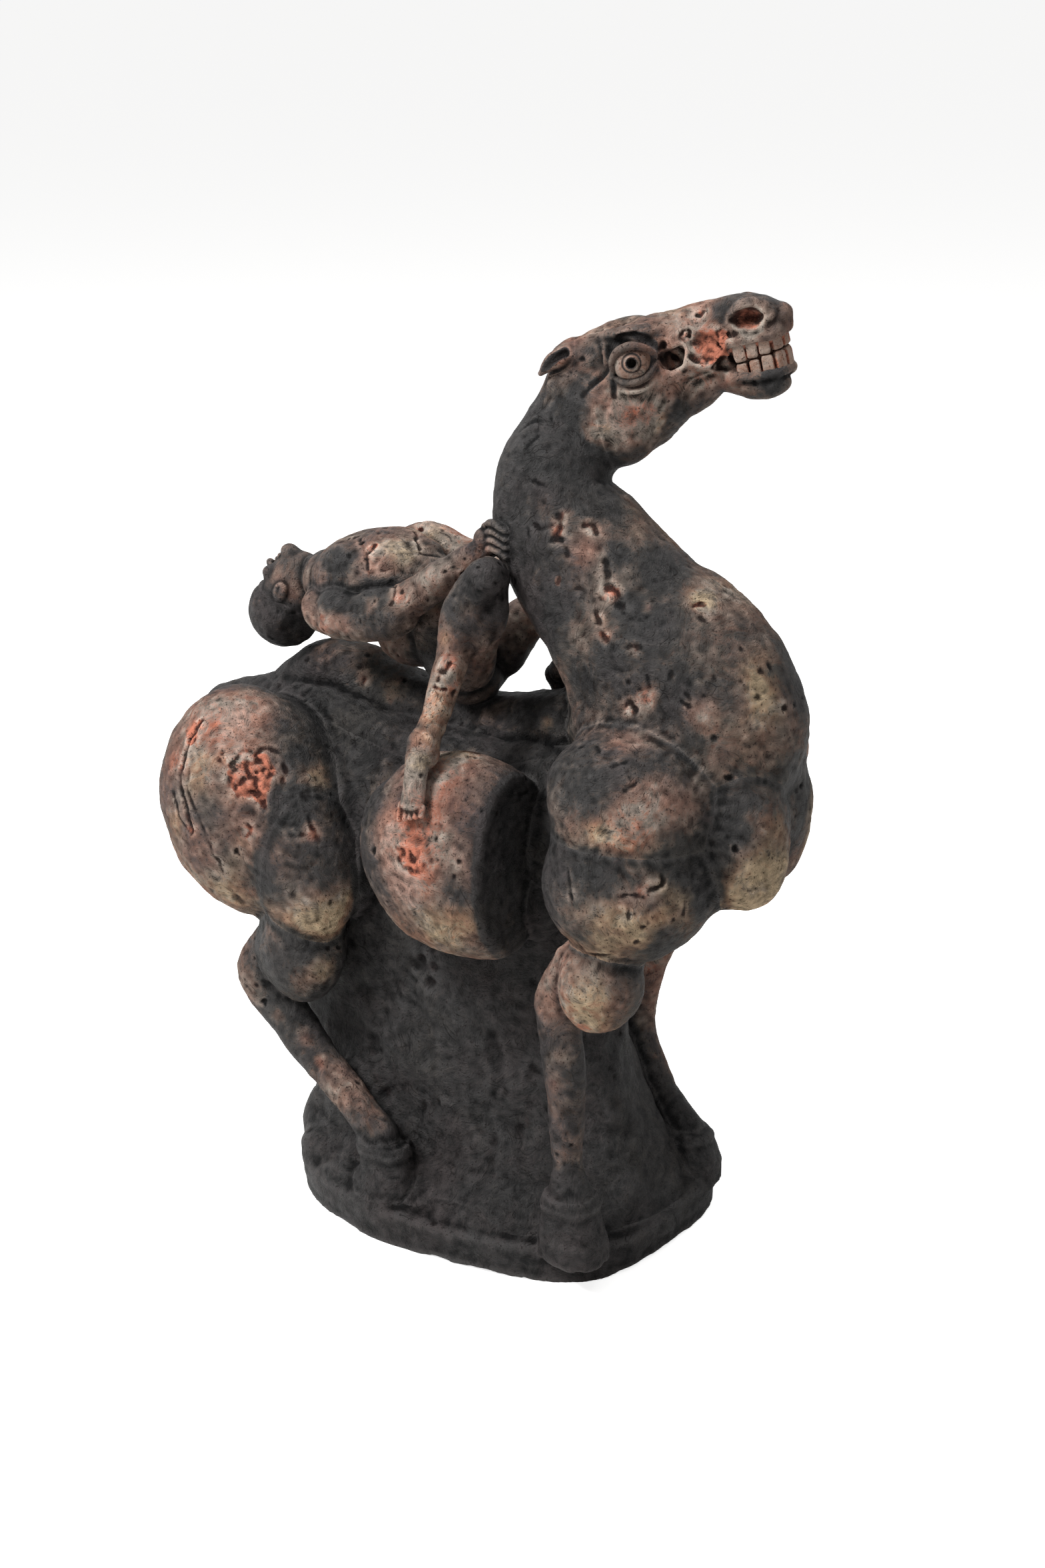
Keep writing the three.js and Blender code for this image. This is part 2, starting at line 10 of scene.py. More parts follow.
import bpy
import numpy as np
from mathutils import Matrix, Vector


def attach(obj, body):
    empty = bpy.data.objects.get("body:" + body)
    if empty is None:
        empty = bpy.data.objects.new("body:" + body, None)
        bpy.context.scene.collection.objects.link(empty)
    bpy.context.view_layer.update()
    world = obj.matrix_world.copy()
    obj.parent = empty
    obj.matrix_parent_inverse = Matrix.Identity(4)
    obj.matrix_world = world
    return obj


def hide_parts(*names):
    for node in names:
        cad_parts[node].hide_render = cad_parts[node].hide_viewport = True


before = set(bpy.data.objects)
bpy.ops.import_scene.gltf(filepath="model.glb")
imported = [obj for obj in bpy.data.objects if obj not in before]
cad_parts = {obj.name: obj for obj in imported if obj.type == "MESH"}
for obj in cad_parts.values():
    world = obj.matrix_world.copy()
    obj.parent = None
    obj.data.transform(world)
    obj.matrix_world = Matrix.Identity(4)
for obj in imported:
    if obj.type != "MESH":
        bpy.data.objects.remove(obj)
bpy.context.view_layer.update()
started = time.time()

slabTop = 22.0
right, left = -1, 1
sides = (("right", right), ("left", left))
farAway = 1e3


def report(stage):
    print(f"{stage}: {time.time() - started:.1f} s", flush=True)


def unit(vectors):
    return vectors / np.maximum(np.linalg.norm(vectors, axis=-1, keepdims=True), 1e-9)


def smoothStep(low, high, values):
    t = np.clip((values - low) / (high - low), 0, 1)
    return t * t * (3 - 2 * t)


# Soft noise: random numbers on a cubic lattice, blended between the eight corners round each point
latticeSize = 32
lattices = [np.random.default_rng(seed).uniform(-1, 1, (latticeSize,) * 3).astype(np.float32) for seed in range(4)]
latticeTurns = [np.linalg.qr(np.random.default_rng(20 + seed).normal(size=(3, 3)))[0].astype(np.float32)
                for seed in range(4)]


def softNoise(points, wave, seed=0):
    q = points / np.asarray(wave, np.float32)
    if np.ndim(wave) == 0:
        q = q @ latticeTurns[seed % len(lattices)]
    q = q + 7.31 * (seed + 1)
    base = np.floor(q).astype(np.int64)
    f = (q - base).astype(np.float32)
    f = f * f * (3 - 2 * f)
    table = lattices[seed % len(lattices)]
    low = base % latticeSize
    high = (base + 1) % latticeSize
    total = np.zeros(len(points), np.float32)
    for cx in (0, 1):
        wx = f[:, 0] if cx else 1 - f[:, 0]
        ix = high[:, 0] if cx else low[:, 0]
        for cy in (0, 1):
            wy = wx * (f[:, 1] if cy else 1 - f[:, 1])
            iy = high[:, 1] if cy else low[:, 1]
            total += wy * (1 - f[:, 2]) * table[ix, iy, low[:, 2]]
            total += wy * f[:, 2] * table[ix, iy, high[:, 2]]
    return total


# Three soft noises side by side, which push points about
def wobble(points, wave):
    return np.stack([softNoise(points, wave, k) for k in range(3)], 1)


# Cloud: three octaves of soft noise, each half as wide and half as strong as the one before
def cloud(points, wave, seed=0):
    total = softNoise(points, wave, seed) + 0.5 * softNoise(points, wave / 2, seed + 1)
    return (total + 0.25 * softNoise(points, wave / 4, seed + 2)) / 1.3


# Pits where grog fell out and nicks from the tool: balls and short rods scattered through a cube
# that repeats. The tile holds how deep each place lies inside the nearest of them.
marks = dict(side=96.0, cells=144, pits=1500, pitRadius=(0.6, 2.3), nicks=560, nickRadius=(0.45, 1.1),
             nickHalf=(1.5, 7.0))


def markTile():
    rng = np.random.default_rng(11)
    n, pitch = marks["cells"], marks["side"] / marks["cells"]
    tile = np.zeros((n, n, n), np.float32)
    count = marks["pits"] + marks["nicks"]
    centres = rng.uniform(0, marks["side"], (count, 3))
    turns = unit(rng.normal(size=(count, 3)))
    spread = rng.uniform(0, 1, count) ** 2.2
    for k in range(count):
        isPit = k < marks["pits"]
        low, high = marks["pitRadius"] if isPit else marks["nickRadius"]
        radius = low + (high - low) * spread[k]
        half = 0.0 if isPit else rng.uniform(*marks["nickHalf"])
        reach = radius + half
        first = np.floor((centres[k] - reach) / pitch).astype(int)
        last = np.ceil((centres[k] + reach) / pitch).astype(int)
        axes = [np.arange(a, b + 1) for a, b in zip(first, last)]
        grid = np.stack(np.meshgrid(*[a * pitch for a in axes], indexing="ij"), -1) - centres[k]
        along = np.clip(grid @ turns[k], -half, half)
        distance = np.linalg.norm(grid - along[..., None] * turns[k], axis=-1)
        depth = np.sqrt(np.maximum(radius**2 - distance**2, 0)).astype(np.float32)
        window = np.ix_(*[a % n for a in axes])
        tile[window] = np.maximum(tile[window], depth)
    return tile


pitTile = markTile()
report("tile of pits and nicks")


def sampleTile(points):
    n = marks["cells"]
    q = points / (marks["side"] / n)
    base = np.floor(q).astype(np.int64)
    f = (q - base).astype(np.float32)
    total = np.zeros(len(points), np.float32)
    for corner in range(8):
        c = np.array([corner >> 2 & 1, corner >> 1 & 1, corner & 1])
        weight = np.prod(np.where(c, f, 1 - f), axis=1)
        i = (base + c) % n
        total += weight * pitTile[i[:, 0], i[:, 1], i[:, 2]]
    return total


# The forms that clay is pressed into. Each gives a distance that is negative inside the clay.


# Smooth path: a centripetal Catmull-Rom curve through the stations
def throughStations(stations, perSpan):
    s = np.asarray(stations, float)
    padded = np.vstack([2 * s[0] - s[1], s, 2 * s[-1] - s[-2]])
    p0, p1, p2, p3 = (padded[k:len(padded) - 3 + k] for k in range(4))
    spans = ((p0, p1), (p1, p2), (p2, p3))
    d0, d1, d2 = (np.maximum(np.sqrt(np.linalg.norm(b - a, axis=1))[:, None], 1e-3) for a, b in spans)
    m1 = ((p1 - p0) / d0 - (p2 - p0) / (d0 + d1) + (p2 - p1) / d1) * d1
    m2 = ((p2 - p1) / d1 - (p3 - p1) / (d1 + d2) + (p3 - p2) / d2) * d1
    t = (np.arange(perSpan) / perSpan)[None, :, None]
    a, b, c, d = p1[:, None], p2[:, None], m1[:, None], m2[:, None]
    spans = ((2 * t**3 - 3 * t**2 + 1) * a + (t**3 - 2 * t**2 + t) * c + (3 * t**2 - 2 * t**3) * b
             + (t**3 - t**2) * d)
    return np.vstack([spans.reshape(-1, s.shape[1]), s[-1]])


def leant(degrees):
    c, s = math.cos(math.radians(degrees)), math.sin(math.radians(degrees))
    return np.array([[c, 0, -s], [0, 1, 0], [s, 0, c]])


# Ball: a sphere drawn out to three half sizes, leant along the body
def ball(along, out, height, half, lean=0, side=left, blend=5.0, carve=False):
    centre = np.array([along, side * out, slabTop + height], float)
    return ballAt(centre, half, leant(lean), blend, carve)


def ballAt(centre, half, axes, blend=5.0, carve=False):
    half = np.asarray(half, float)
    reach = np.sqrt(((axes * half[:, None]) ** 2).sum(0))
    return dict(kind="ball", centre=centre, half=half, axes=axes, blend=blend, carve=carve,
                low=centre - reach, high=centre + reach)


# Roll: an oval carried along a smooth path, with its own width and depth at each station
def roll(stations, side=left, blend=5.0, across=(0, 1, 0), perSpan=6, carve=False):
    placed = [(x, side * y, slabTop + z, *size) for x, y, z, *size in stations]
    return rollAt(placed, blend, np.array(across, float), perSpan, carve)


def rollAt(placed, blend, across, perSpan=6, carve=False):
    line = throughStations(np.array(placed, float)[:, :3], perSpan)
    girth = np.maximum(throughStations(np.array(placed, float)[:, 3:5], perSpan), 0.5)
    ahead = unit(np.gradient(line, axis=0))
    depth = unit(np.cross(ahead, across))
    width = np.cross(depth, ahead)
    gaps = np.linalg.norm(np.diff(line, axis=0), axis=1)
    before = np.concatenate([[0], gaps / 2])
    after = np.concatenate([gaps / 2, [0]])
    slope = np.gradient(girth, axis=0) / np.gradient(np.concatenate([[0], np.cumsum(gaps)]))[:, None]
    reach = girth.max()
    return dict(kind="roll", line=line, ahead=ahead, depth=depth, width=width, girth=girth, slope=slope,
                before=before, after=after, blend=blend, carve=carve,
                low=line.min(0) - reach, high=line.max(0) + reach)


# Distance to an oval, nearly: the place over its half sizes, twice over, gives how steeply it is reached
def ovalDistance(scaled, half):
    k0 = np.sqrt((scaled**2).sum(-1))
    k1 = np.sqrt(((scaled / half) ** 2).sum(-1))
    return k0 * (k0 - 1) / np.maximum(k1, 1e-6)


def ballField(s, points):
    local = (points - s["centre"].astype(np.float32)) @ s["axes"].T.astype(np.float32)
    half = s["half"].astype(np.float32)
    return ovalDistance(local / half, half)


# Roll: the nearest station of the path, then an oval as wide and as deep as the roll is there
rollParts = ("line", "ahead", "depth", "width", "girth", "slope", "before", "after")
batch = 16384


def rollField(s, points):
    line = s["line"].astype(np.float32)
    middle = line.mean(0)
    pull, rest = -2 * (line - middle).T, ((line - middle) ** 2).sum(1)
    starts = range(0, len(points), batch)
    nearest = np.concatenate([((points[k:k + batch] - middle) @ pull + rest).argmin(1) for k in starts])
    pick = {name: s[name].astype(np.float32)[nearest] for name in rollParts}
    offset = points - pick["line"]
    run = (offset * pick["ahead"]).sum(1)
    kept = np.clip(run, -pick["before"], pick["after"])
    size = pick["girth"] + kept[:, None] * pick["slope"]
    half = np.concatenate([size, size.min(1, keepdims=True)], 1)
    aside = [(offset * pick[name]).sum(1) for name in ("width", "depth")]
    return ovalDistance(np.stack([*aside, run - kept], 1) / half, half)


# Squared oval in the ground plane: how far a point lies outside it
def squaredDistance(x, y, halfLong, halfWide, square):
    ratio = (np.abs(x / halfLong) ** square + np.abs(y / halfWide) ** square) ** (1 / square)
    return np.hypot(x, y) * (1 - 1 / np.maximum(ratio, 1e-4))


# Slab: a squared oval with a wave on its outline, as tall as the slab, its rims rounded
def slabField(s, points):
    x, y, z = points.T
    toFront = (1 + x / np.maximum(np.hypot(x, y), 1e-3)) / 2
    square = s["squareHind"] + (s["squareFront"] - s["squareHind"]) * toFront
    aside = squaredDistance(x, y, np.where(x > 0, s["front"], s["hind"]), s["wide"], square) + s["round"]
    aside += s["wave"][1] * softNoise(points, s["wave"][0], 1)
    upDown = np.abs(z - slabTop / 2) - slabTop / 2 + s["round"]
    outside = np.hypot(np.maximum(aside, 0), np.maximum(upDown, 0))
    return outside + np.minimum(np.maximum(aside, upDown), 0) - s["round"]


# Rock: squared ovals that change with the height, with two waves on their outline
def rockField(s, points):
    x, y, z = points.T
    rings = np.array(s["rings"], float)
    heights = slabTop + rings[:, 0]
    middle, halfLong, halfWide = (np.interp(z, heights, rings[:, k]).astype(np.float32) for k in (1, 2, 3))
    aside = squaredDistance(x - middle, y, halfLong, halfWide, s["square"]) * 0.9
    for wave, high, seed in s["waves"]:
        aside += high * softNoise(points, wave, seed)
    return np.maximum(aside, np.maximum(heights[0] - 6 - z, z - heights[-1]))


# Hoof: squared ovals that follow a profile up from the sole and lean toward the toe
def hoofField(s, points):
    x, y, z = (points - s["foot"].astype(np.float32)).T
    t = np.clip(z / s["tall"], -0.3, 1.3)
    profile = np.interp(t, s["profileHeights"], s["profileRadii"]).astype(np.float32)
    aside = squaredDistance(x - s["toe"] * (1 - t), y, s["half"][0] * profile, s["half"][1] * profile, 2.3)
    return np.maximum(aside, np.maximum(-z - 2, z - s["tall"]))


fields = dict(ball=ballField, roll=rollField, slab=slabField, rock=rockField, hoof=hoofField)


# Distance to one form. A lobe may be cut off flat in front, as the flank's is.
def fieldOf(shape, points):
    distance = fields[shape["kind"]](shape, points).astype(np.float32)
    if "flatFront" in shape:
        distance = smoothMost(distance, points[:, 0] - shape["flatFront"], 3.5)
    return distance


# Smooth join: the lesser of two distances, rounded over a given width; and its opposite for a cut
def smoothLeast(a, b, width):
    h = np.clip(0.5 + 0.5 * (b - a) / width, 0, 1)
    return b + (a - b) * h - width * h * (1 - h)


def smoothMost(a, b, width):
    return -smoothLeast(-a, -b, width)


# Balls in a row: place, half sizes, lean and how softly each joins
def balls(places):
    return [ball(x, y, z, half, lean, blend=blend) for x, y, z, half, lean, blend in places]


# The base and the rock that carries the belly, with the waves of their outlines in mm, and the clay
# pushed in under the flank and round the hooves
base = dict(front=127, hind=126, wide=100, round=2.6, squareFront=3.0, squareHind=2.2, wave=(38, 1.2))
rock = dict(square=2.6, waves=((46, 4.6, 2), (19, 2.6, 0)), rings=[
    (0, 0, 121, 93), (9, -1, 117, 87), (24, -6, 112, 70), (52, -18, 112, 58), (104, -32, 112, 49), (174, -18, 107, 46)])
rockFills = balls([(-72, -50, 188, (15, 12, 20), 0, 10), (50, -40, 190, (15, 12, 18), 0, 10)])
rimLumps = balls([(-106, -38, 14, (14, 16, 18), 0, 8), (-88, -62, 8, (16, 14, 12), 0, 8),
                  (-56, -80, 4, (20, 10, 9), 0, 8), (84, 62, 8, (16, 14, 12), 0, 8), (30, -82, 2, (26, 10, 7), 0, 8),
                  (-92, 60, 8, (18, 14, 12), 0, 8)])


def slabShape():
    low, high = (-base["hind"], -base["wide"], 0), (base["front"], base["wide"], slabTop)
    return dict(kind="slab", blend=5.0, carve=False, low=np.array(low, float), high=np.array(high, float), **base)


def rockShape():
    foot, top = rock["rings"][0], slabTop + rock["rings"][-1][0]
    return dict(kind="rock", blend=9.0, carve=False, low=np.array([-foot[2] - 8, -foot[3], slabTop - 6.0]),
                high=np.array([foot[2], foot[3], top]), **rock)


hoof = dict(profileHeights=(-0.3, 0, 0.3, 0.74, 0.86, 1.0, 1.3), profileRadii=(0.98, 1.0, 1.06, 0.86, 0.9, 0.78, 0.5),
            toe=3.0, blend=3.0)
hindHoof = dict(along=-31, out=78, half=(18, 17), tall=33)
foreHoof = dict(along=99, out=79, half=(18, 17), tall=34)
farForeHoof = dict(along=108, out=44, half=(17, 16), tall=28)


def hoofShape(place, side):
    middle = np.array([place["along"], side * place["out"], slabTop], float)
    wide, deep = (1.2 * half for half in place["half"])
    return dict(kind="hoof", carve=False, foot=middle, low=middle - (wide, deep, 2),
                high=middle + (wide, deep, place["tall"]), half=place["half"], tall=place["tall"], **hoof)


# Lobes of the body
haunch = dict(along=-142, out=52, height=219, half=(61, 52, 71), lean=-14)
thigh = dict(along=-90, out=71, height=192, half=(27, 24, 46), lean=-8)
gaskin = dict(along=-97, out=68, height=138, half=(26, 23, 34), lean=8)
flank = dict(along=18, out=63.5, height=220, half=(66, 42, 60))
flankFront = 51
shoulder = dict(along=122, out=60, height=273, half=(45, 40, 36), lean=10)
upperArm = dict(along=124, out=63, height=224, half=(48, 44, 41))
farUpperArm = dict(along=78, out=52, height=238, half=(42, 37, 34))
forearm = dict(along=116, out=76, height=169, half=(24, 23, 29), lean=14)
farForearm = dict(along=82, out=56, height=180, half=(24, 23, 29), lean=-8)
breast = dict(along=176, out=27, height=250, half=(25, 26, 40), lean=-8)
farBreast = dict(along=161, out=25, height=250, half=(26, 26, 44), lean=-4)

# Coils, as stations of place along, out, height, half width and half depth
hindLeg = [(-108, 62, 146, 15, 17), (-134, 61, 112, 16, 17), (-110, 64, 86, 13, 14), (-80, 70, 64, 11, 12),
           (-52, 76, 48, 11, 11), (-36, 78, 36, 12, 13)]
foreLeg = [(92, 66, 174, 11, 11), (84, 69, 146, 12, 14), (92, 74, 110, 11, 12), (95, 76, 80, 11, 11),
           (97, 78, 56, 9, 9), (99, 79, 38, 11, 12)]
farForeLeg = [(92, 58, 168, 12, 12), (70, 54, 126, 12, 14), (66, 52, 84, 11, 11), (82, 50, 48, 10, 11),
              (104, 45, 28, 11, 12)]
trunk = [(-170, 0, 216, 34, 42), (-130, 0, 222, 49, 58), (-50, 0, 222, 49, 54), (30, 0, 222, 49, 54),
         (92, 0, 228, 49, 54), (124, 0, 236, 42, 46)]
ridge = [(-172, 6, 266, 13, 12), (-128, 10, 290, 22, 18), (-84, 12, 282, 22, 18), (-40, 12, 274, 21, 18),
         (4, 8, 277, 21, 18), (50, 4, 290, 20, 18)]
ridgeFold = [(-150, -8, 276, 9, 8), (-118, -14, 277, 12, 9), (-80, -20, 269, 12, 9), (-40, -24, 263, 11, 8),
             (0, -22, 263, 12, 9), (44, -16, 268, 10, 8)]
croup = [(-150, -4, 266, 16, 14), (-186, -2, 264, 15, 13), (-206, 0, 258, 13, 12)]
tail = [(-204, 0, 256, 11, 11), (-210, 2, 230, 10, 10), (-202, 4, 198, 10, 11), (-190, 6, 170, 8, 9)]
neck = [(132, 0, 262, 52, 56), (126, 0, 300, 54, 68), (110, 0, 328, 51, 65), (84, 0, 356, 47, 49),
        (58, 0, 382, 41, 45), (41, 0, 406, 36, 41), (36, 2, 428, 31, 34), (41, 8, 450, 25, 29), (48, 12, 470, 20, 25)]

# The horse's head stands in its own frame: forward along the nose, out to its left, up from the mouth
head = dict(along=35, out=12, height=490, turn=25, lift=14)


def headTurn():
    c, s = math.cos(math.radians(head["turn"])), math.sin(math.radians(head["turn"]))
    cl, sl = math.cos(math.radians(head["lift"])), math.sin(math.radians(head["lift"]))
    return np.array([[c * cl, -s, -c * sl], [s * cl, c, -s * sl], [sl, 0, cl]])


headMatrix = headTurn()
headPoll = np.array([head["along"], head["out"], slabTop + head["height"]], float)


def headPoint(forward, out, up):
    return headPoll + headMatrix @ np.array([forward, out, up], float)


def headBall(forward, out, up, half, side=left, blend=5.0, carve=False, tilt=0):
    return ballAt(headPoint(forward, side * out, up), half, leant(tilt) @ headMatrix.T, blend, carve)


def headRoll(stations, side=left, blend=5.0, carve=False, perSpan=6):
    placed = [(*headPoint(f, side * o, u), *size) for f, o, u, *size in stations]
    return rollAt(placed, blend, headMatrix[:, 1], perSpan, carve)


# Skull, jaw, ears and lids, as stations of forward, out, up, half width and half depth
skullSections = [(5, 0, -15, 18, 20), (22, 0, -23, 25, 37), (36, 0, -20, 26, 36), (52, 0, -10, 24, 27),
                 (68, 0, -3, 19, 20), (84, 0, 1, 16, 15.5), (100, 0, 2, 16, 14), (112, 0, 0, 15, 12.5),
                 (119, 0, -3, 11, 8)]
jawSections = [(48, 0, -34, 16, 15), (68, 0, -28, 15, 14.5), (84, 0, -25, 14.5, 10.5), (98, 0, -32.5, 15, 9),
               (110, 0, -34, 14.5, 8)]
earSections = [(14, 9, 5, 5, 5), (5, 11, 6, 7, 6), (-3, 13, 4, 6, 5), (-12, 12, -1, 2.6, 2.2)]
lidGroove = [(9, 25.6, -15.5, 0.6, 0.9), (13, 24.6, -13, 0.8, 1.2), (18, 23.3, -10.4, 1.0, 1.5),
             (23, 21.9, -7, 1.0, 1.6), (27.2, 22.4, -2.2, 0.9, 1.6), (30.2, 20.8, 4.0, 1.0, 1.7),
             (36, 20.8, 7.8, 1.1, 1.7), (43, 21.6, 8.6, 1.1, 1.7), (50.4, 20.5, 5.6, 1.0, 1.6),
             (55.8, 20.6, 0.2, 0.9, 1.4), (58.2, 21.4, -4.4, 0.8, 1.2)]
upperLid = [(28.5, 25.2, -9.5, 1.3, 1.4), (30.2, 27.4, -1, 1.8, 2.0), (35, 28.8, 3.8, 2.1, 2.3),
            (42, 29.0, 4.8, 2.2, 2.4), (49.4, 27.2, 1.6, 2.0, 2.2), (54.8, 23.4, -5.5, 1.3, 1.4)]
lowerLid = [(28.6, 25.2, -10, 1.2, 1.3), (33, 27.4, -13.4, 1.6, 1.8), (39.5, 28.4, -14.6, 1.8, 1.9),
            (46.5, 27.2, -13.2, 1.6, 1.8), (54, 23.2, -7, 1.2, 1.2)]
lowerFold = [(30.6, 25.6, -17.0, 1.1, 1.2), (35, 26.8, -19.4, 1.6, 1.6), (42.6, 26.8, -19.8, 1.6, 1.6),
             (51, 24.4, -16, 1.3, 1.3)]
eyeCorner = [(28.0, 26.0, -11.5, 0.5, 0.9), (27.4, 26.6, -15.5, 0.55, 1.0), (26.8, 27.4, -20, 0.4, 0.8)]
nostrilFold = [(97, 13, 6, 3, 3), (103, 14, 11, 3, 3), (110, 13.5, 9.5, 3, 3), (116, 12, 3, 3, 3)]
upperLip = [(90, 13.5, -5.5, 3.4, 3.4), (100, 14, -7, 3.6, 4), (110, 13.5, -7.5, 3.6, 4), (119, 10, -7, 3.4, 3.6),
            (124, 4, -6.5, 3.2, 3.2)]
lowerLip = [(90, 13.5, -25.5, 2.6, 2.8), (102, 14.5, -28, 2.8, 3), (112, 13, -28.5, 2.8, 3), (119, 8, -28.5, 2.8, 3),
            (121.5, 0, -28.5, 2.8, 3)]


def mouthCorner(side):
    return headBall(86, 15, -16.5, (5.5, 7, 3.6), side, 1.5, True)


def skullShapes():
    shapes = [headRoll(skullSections, perSpan=8)]
    for side in (right, left):
        shapes += [
            headBall(26, 14, -34, (21, 13, 26), side, 8),
            headBall(41, 15.5, 10.5, (15, 7, 4.5), side, 6, tilt=10),
            headBall(42, 17, -16, (17, 10, 7), side, 6),
            headBall(76, 12, -13, (15, 8, 8), side, 6),
            headRoll(nostrilFold, side, 4), headRoll(upperLip, side, 4),
            dict(headBall(106, 16.6, 3.6, (9.8, 7.6, 5.8), side, 1.2, True), torn=0.35),
            headRoll(lowerFold, side, 1.4),
            headBall(60.5, 19, -9, (6.3, 9, 6.5), side, 2.0, True),
            headBall(65, 18, -5.5, (3.6, 7, 3.2), side, 2.0, True),
            headBall(58, 20, -0.5, (2.6, 5, 2.4), side, 1.6, True),
            mouthCorner(side),
            headBall(81, 19.6, -4.5, (9.5, 3.6, 6.5), side, 3.5, True),
            headRoll(lidGroove, side, 1.0, True), headRoll(eyeCorner, side, 0.8, True),
            headBall(21, 11, 3, (15, 10, 11), side, 8),
        ]
    shapes.append(headBall(121, 0, 1.5, (7, 9, 5), blend=5))
    return shapes


def jawShapes():
    shapes = [headRoll(jawSections, perSpan=8), headBall(107, 0, -36.5, (13, 13.5, 7.5)),
              headBall(103, 0, -20, (16, 9, 9), blend=2)]
    for side in (right, left):
        shapes += [headRoll(lowerLip, side, 3), mouthCorner(side)]
    return shapes


def earShapes(side):
    groove = [(f, o + 5.4, u + 1.6, 1.6, 2.3) for f, o, u, _, _ in earSections[1:]]
    return [headRoll(earSections, side, 4), headRoll(groove, side, 1.5, True)]


def eyeRimShapes(side):
    return [headRoll(upperLid, side, 1.2), headRoll(lowerLid, side, 1.0)]


# The rider
riderTorso = [(-114, -6, 352, 22, 17), (-98, -6, 356, 32, 24), (-72, -4, 360, 32, 26), (-50, -4, 354, 24, 22)]
riderWaist = [(-46, -4, 352, 22, 19), (-40, -4, 336, 19, 16), (-32, -3, 318, 22, 18), (-18, -2, 306, 24, 17)]
riderLowerBack = dict(along=-62, out=8, height=322, half=(27, 22, 20))
riderNeck = [(-112, -5, 356, 11, 11), (-128, -5, 352, 10, 10), (-142, -5, 344, 11, 11)]
riderHead = dict(along=-146, out=-5, height=340, half=(20, 19, 25), lean=28)
riderHair = dict(along=-154, out=-5, height=326, half=(22, 23, 23), lean=28)
riderRightArm = [(-104, -28, 339, 14, 15), (-88, -33, 338, 14, 15), (-56, -36, 344, 12, 14), (-40, -34, 354, 11, 11),
                 (-16, -28, 372, 8, 9), (3, -22, 387, 7, 7)]
riderLeftArm = [(-96, 24, 358, 14, 13), (-74, 32, 370, 13, 13), (-48, 35, 366, 11, 11), (-22, 31, 364, 9, 9),
                (0, 25, 370, 7, 7)]
riderRightLeg = [(-10, -20, 318, 16, 16), (8, -34, 352, 15, 15), (20, -43, 378, 12, 12), (8, -48, 356, 12, 12),
                 (4, -58, 326, 9, 10), (4, -72, 302, 7, 7), (4, -84, 288, 7, 7)]
riderLeftLeg = [(-10, 16, 318, 16, 15), (16, 22, 345, 13, 13), (45, 27, 342, 11, 12), (36, 31, 324, 9, 9),
                (24, 33, 308, 8, 8)]

# Muscles that stand out of the rider's limbs and chest: place, half sizes, lean and how softly they join
riderChest = [(-91, -26, 368, (11, 9, 11), 0, 2.5), (-65, -16, 371, (16, 13, 13), 0, 2.5),
              (-53, 5, 373, (8, 8, 7), 0, 2), (-68, -27, 364, (12, 9, 8), 0, 2.5),
              (-88, 8, 370, (14, 12, 11), 0, 3), (-66, -27, 340, (18, 12, 11), 0, 4)]
riderArmMuscles = [(-87, -38, 341, (13, 12, 15), 0, 3), (-61, -38, 350, (13, 9, 9), -8, 2.5),
                   (-47, -36, 343, (13, 10, 9), -20, 3), (-22, -32, 369, (15, 9, 8), -38, 3)]
riderLegMuscles = [(23, -47, 379, (9, 9, 10), 0, 3), (10, -47, 350, (16, 10, 18), 12, 3.5),
                   (22, -40, 356, (9, 9, 16), 10, 3)]

# Hands: a palm and four fingers that follow the grip. Feet: a sole and five toes.
hand = dict(fingers=4, thick=2.7, spacing=4.8, palm=7)
grips = {right: [(6, 23, 394), (14, 29, 398), (26, 33, 396)], left: [(4, 24, 377), (14, 31, 380), (27, 36, 378)]}
foot = dict(toes=5, thick=2.2, spacing=3.5, long=9, heel=(6, 7, 8))
soles = {right: [(3, 85, 290, 7, 7), (6, 95, 272, 6.5, 5.5), (8, 101, 259, 8, 4.4)],
         left: [(18, 34, 303, 7, 7), (32, 38, 299, 8, 5), (48, 40, 298, 8.5, 4)]}
lengthwise = (1, 0, 0)


def handShapes(side):
    grip, thick = grips[side], hand["thick"]
    shapes = [ball(*grip[0], (hand["palm"],) * 3, side=side, blend=2)]
    for k in range(hand["fingers"]):
        drop = (k - (hand["fingers"] - 1) / 2) * hand["spacing"]
        shapes.append(roll([(x, y, z - drop, thick, thick) for x, y, z in grip], side, 1.2))
    return shapes


def footShapes(side):
    sole, thick = soles[side], foot["thick"]
    x, y, z = sole[0][:3]
    shapes = [roll(sole, side, 2, lengthwise), ball(x + 4, y - 1, z - 6, foot["heel"], side=side, blend=3)]
    ahead = unit(np.subtract(sole[-1][:3], sole[-2][:3]))
    for k in range(foot["toes"]):
        start = np.add(sole[-1][:3], ((k - (foot["toes"] - 1) / 2) * foot["spacing"], 0, 0))
        tip = start + ahead * (foot["long"] - 1.2 * k)
        shapes.append(roll([(*start, thick, thick), (*tip, 0.9 * thick, 0.9 * thick)], side, 1.0, lengthwise))
    return shapes


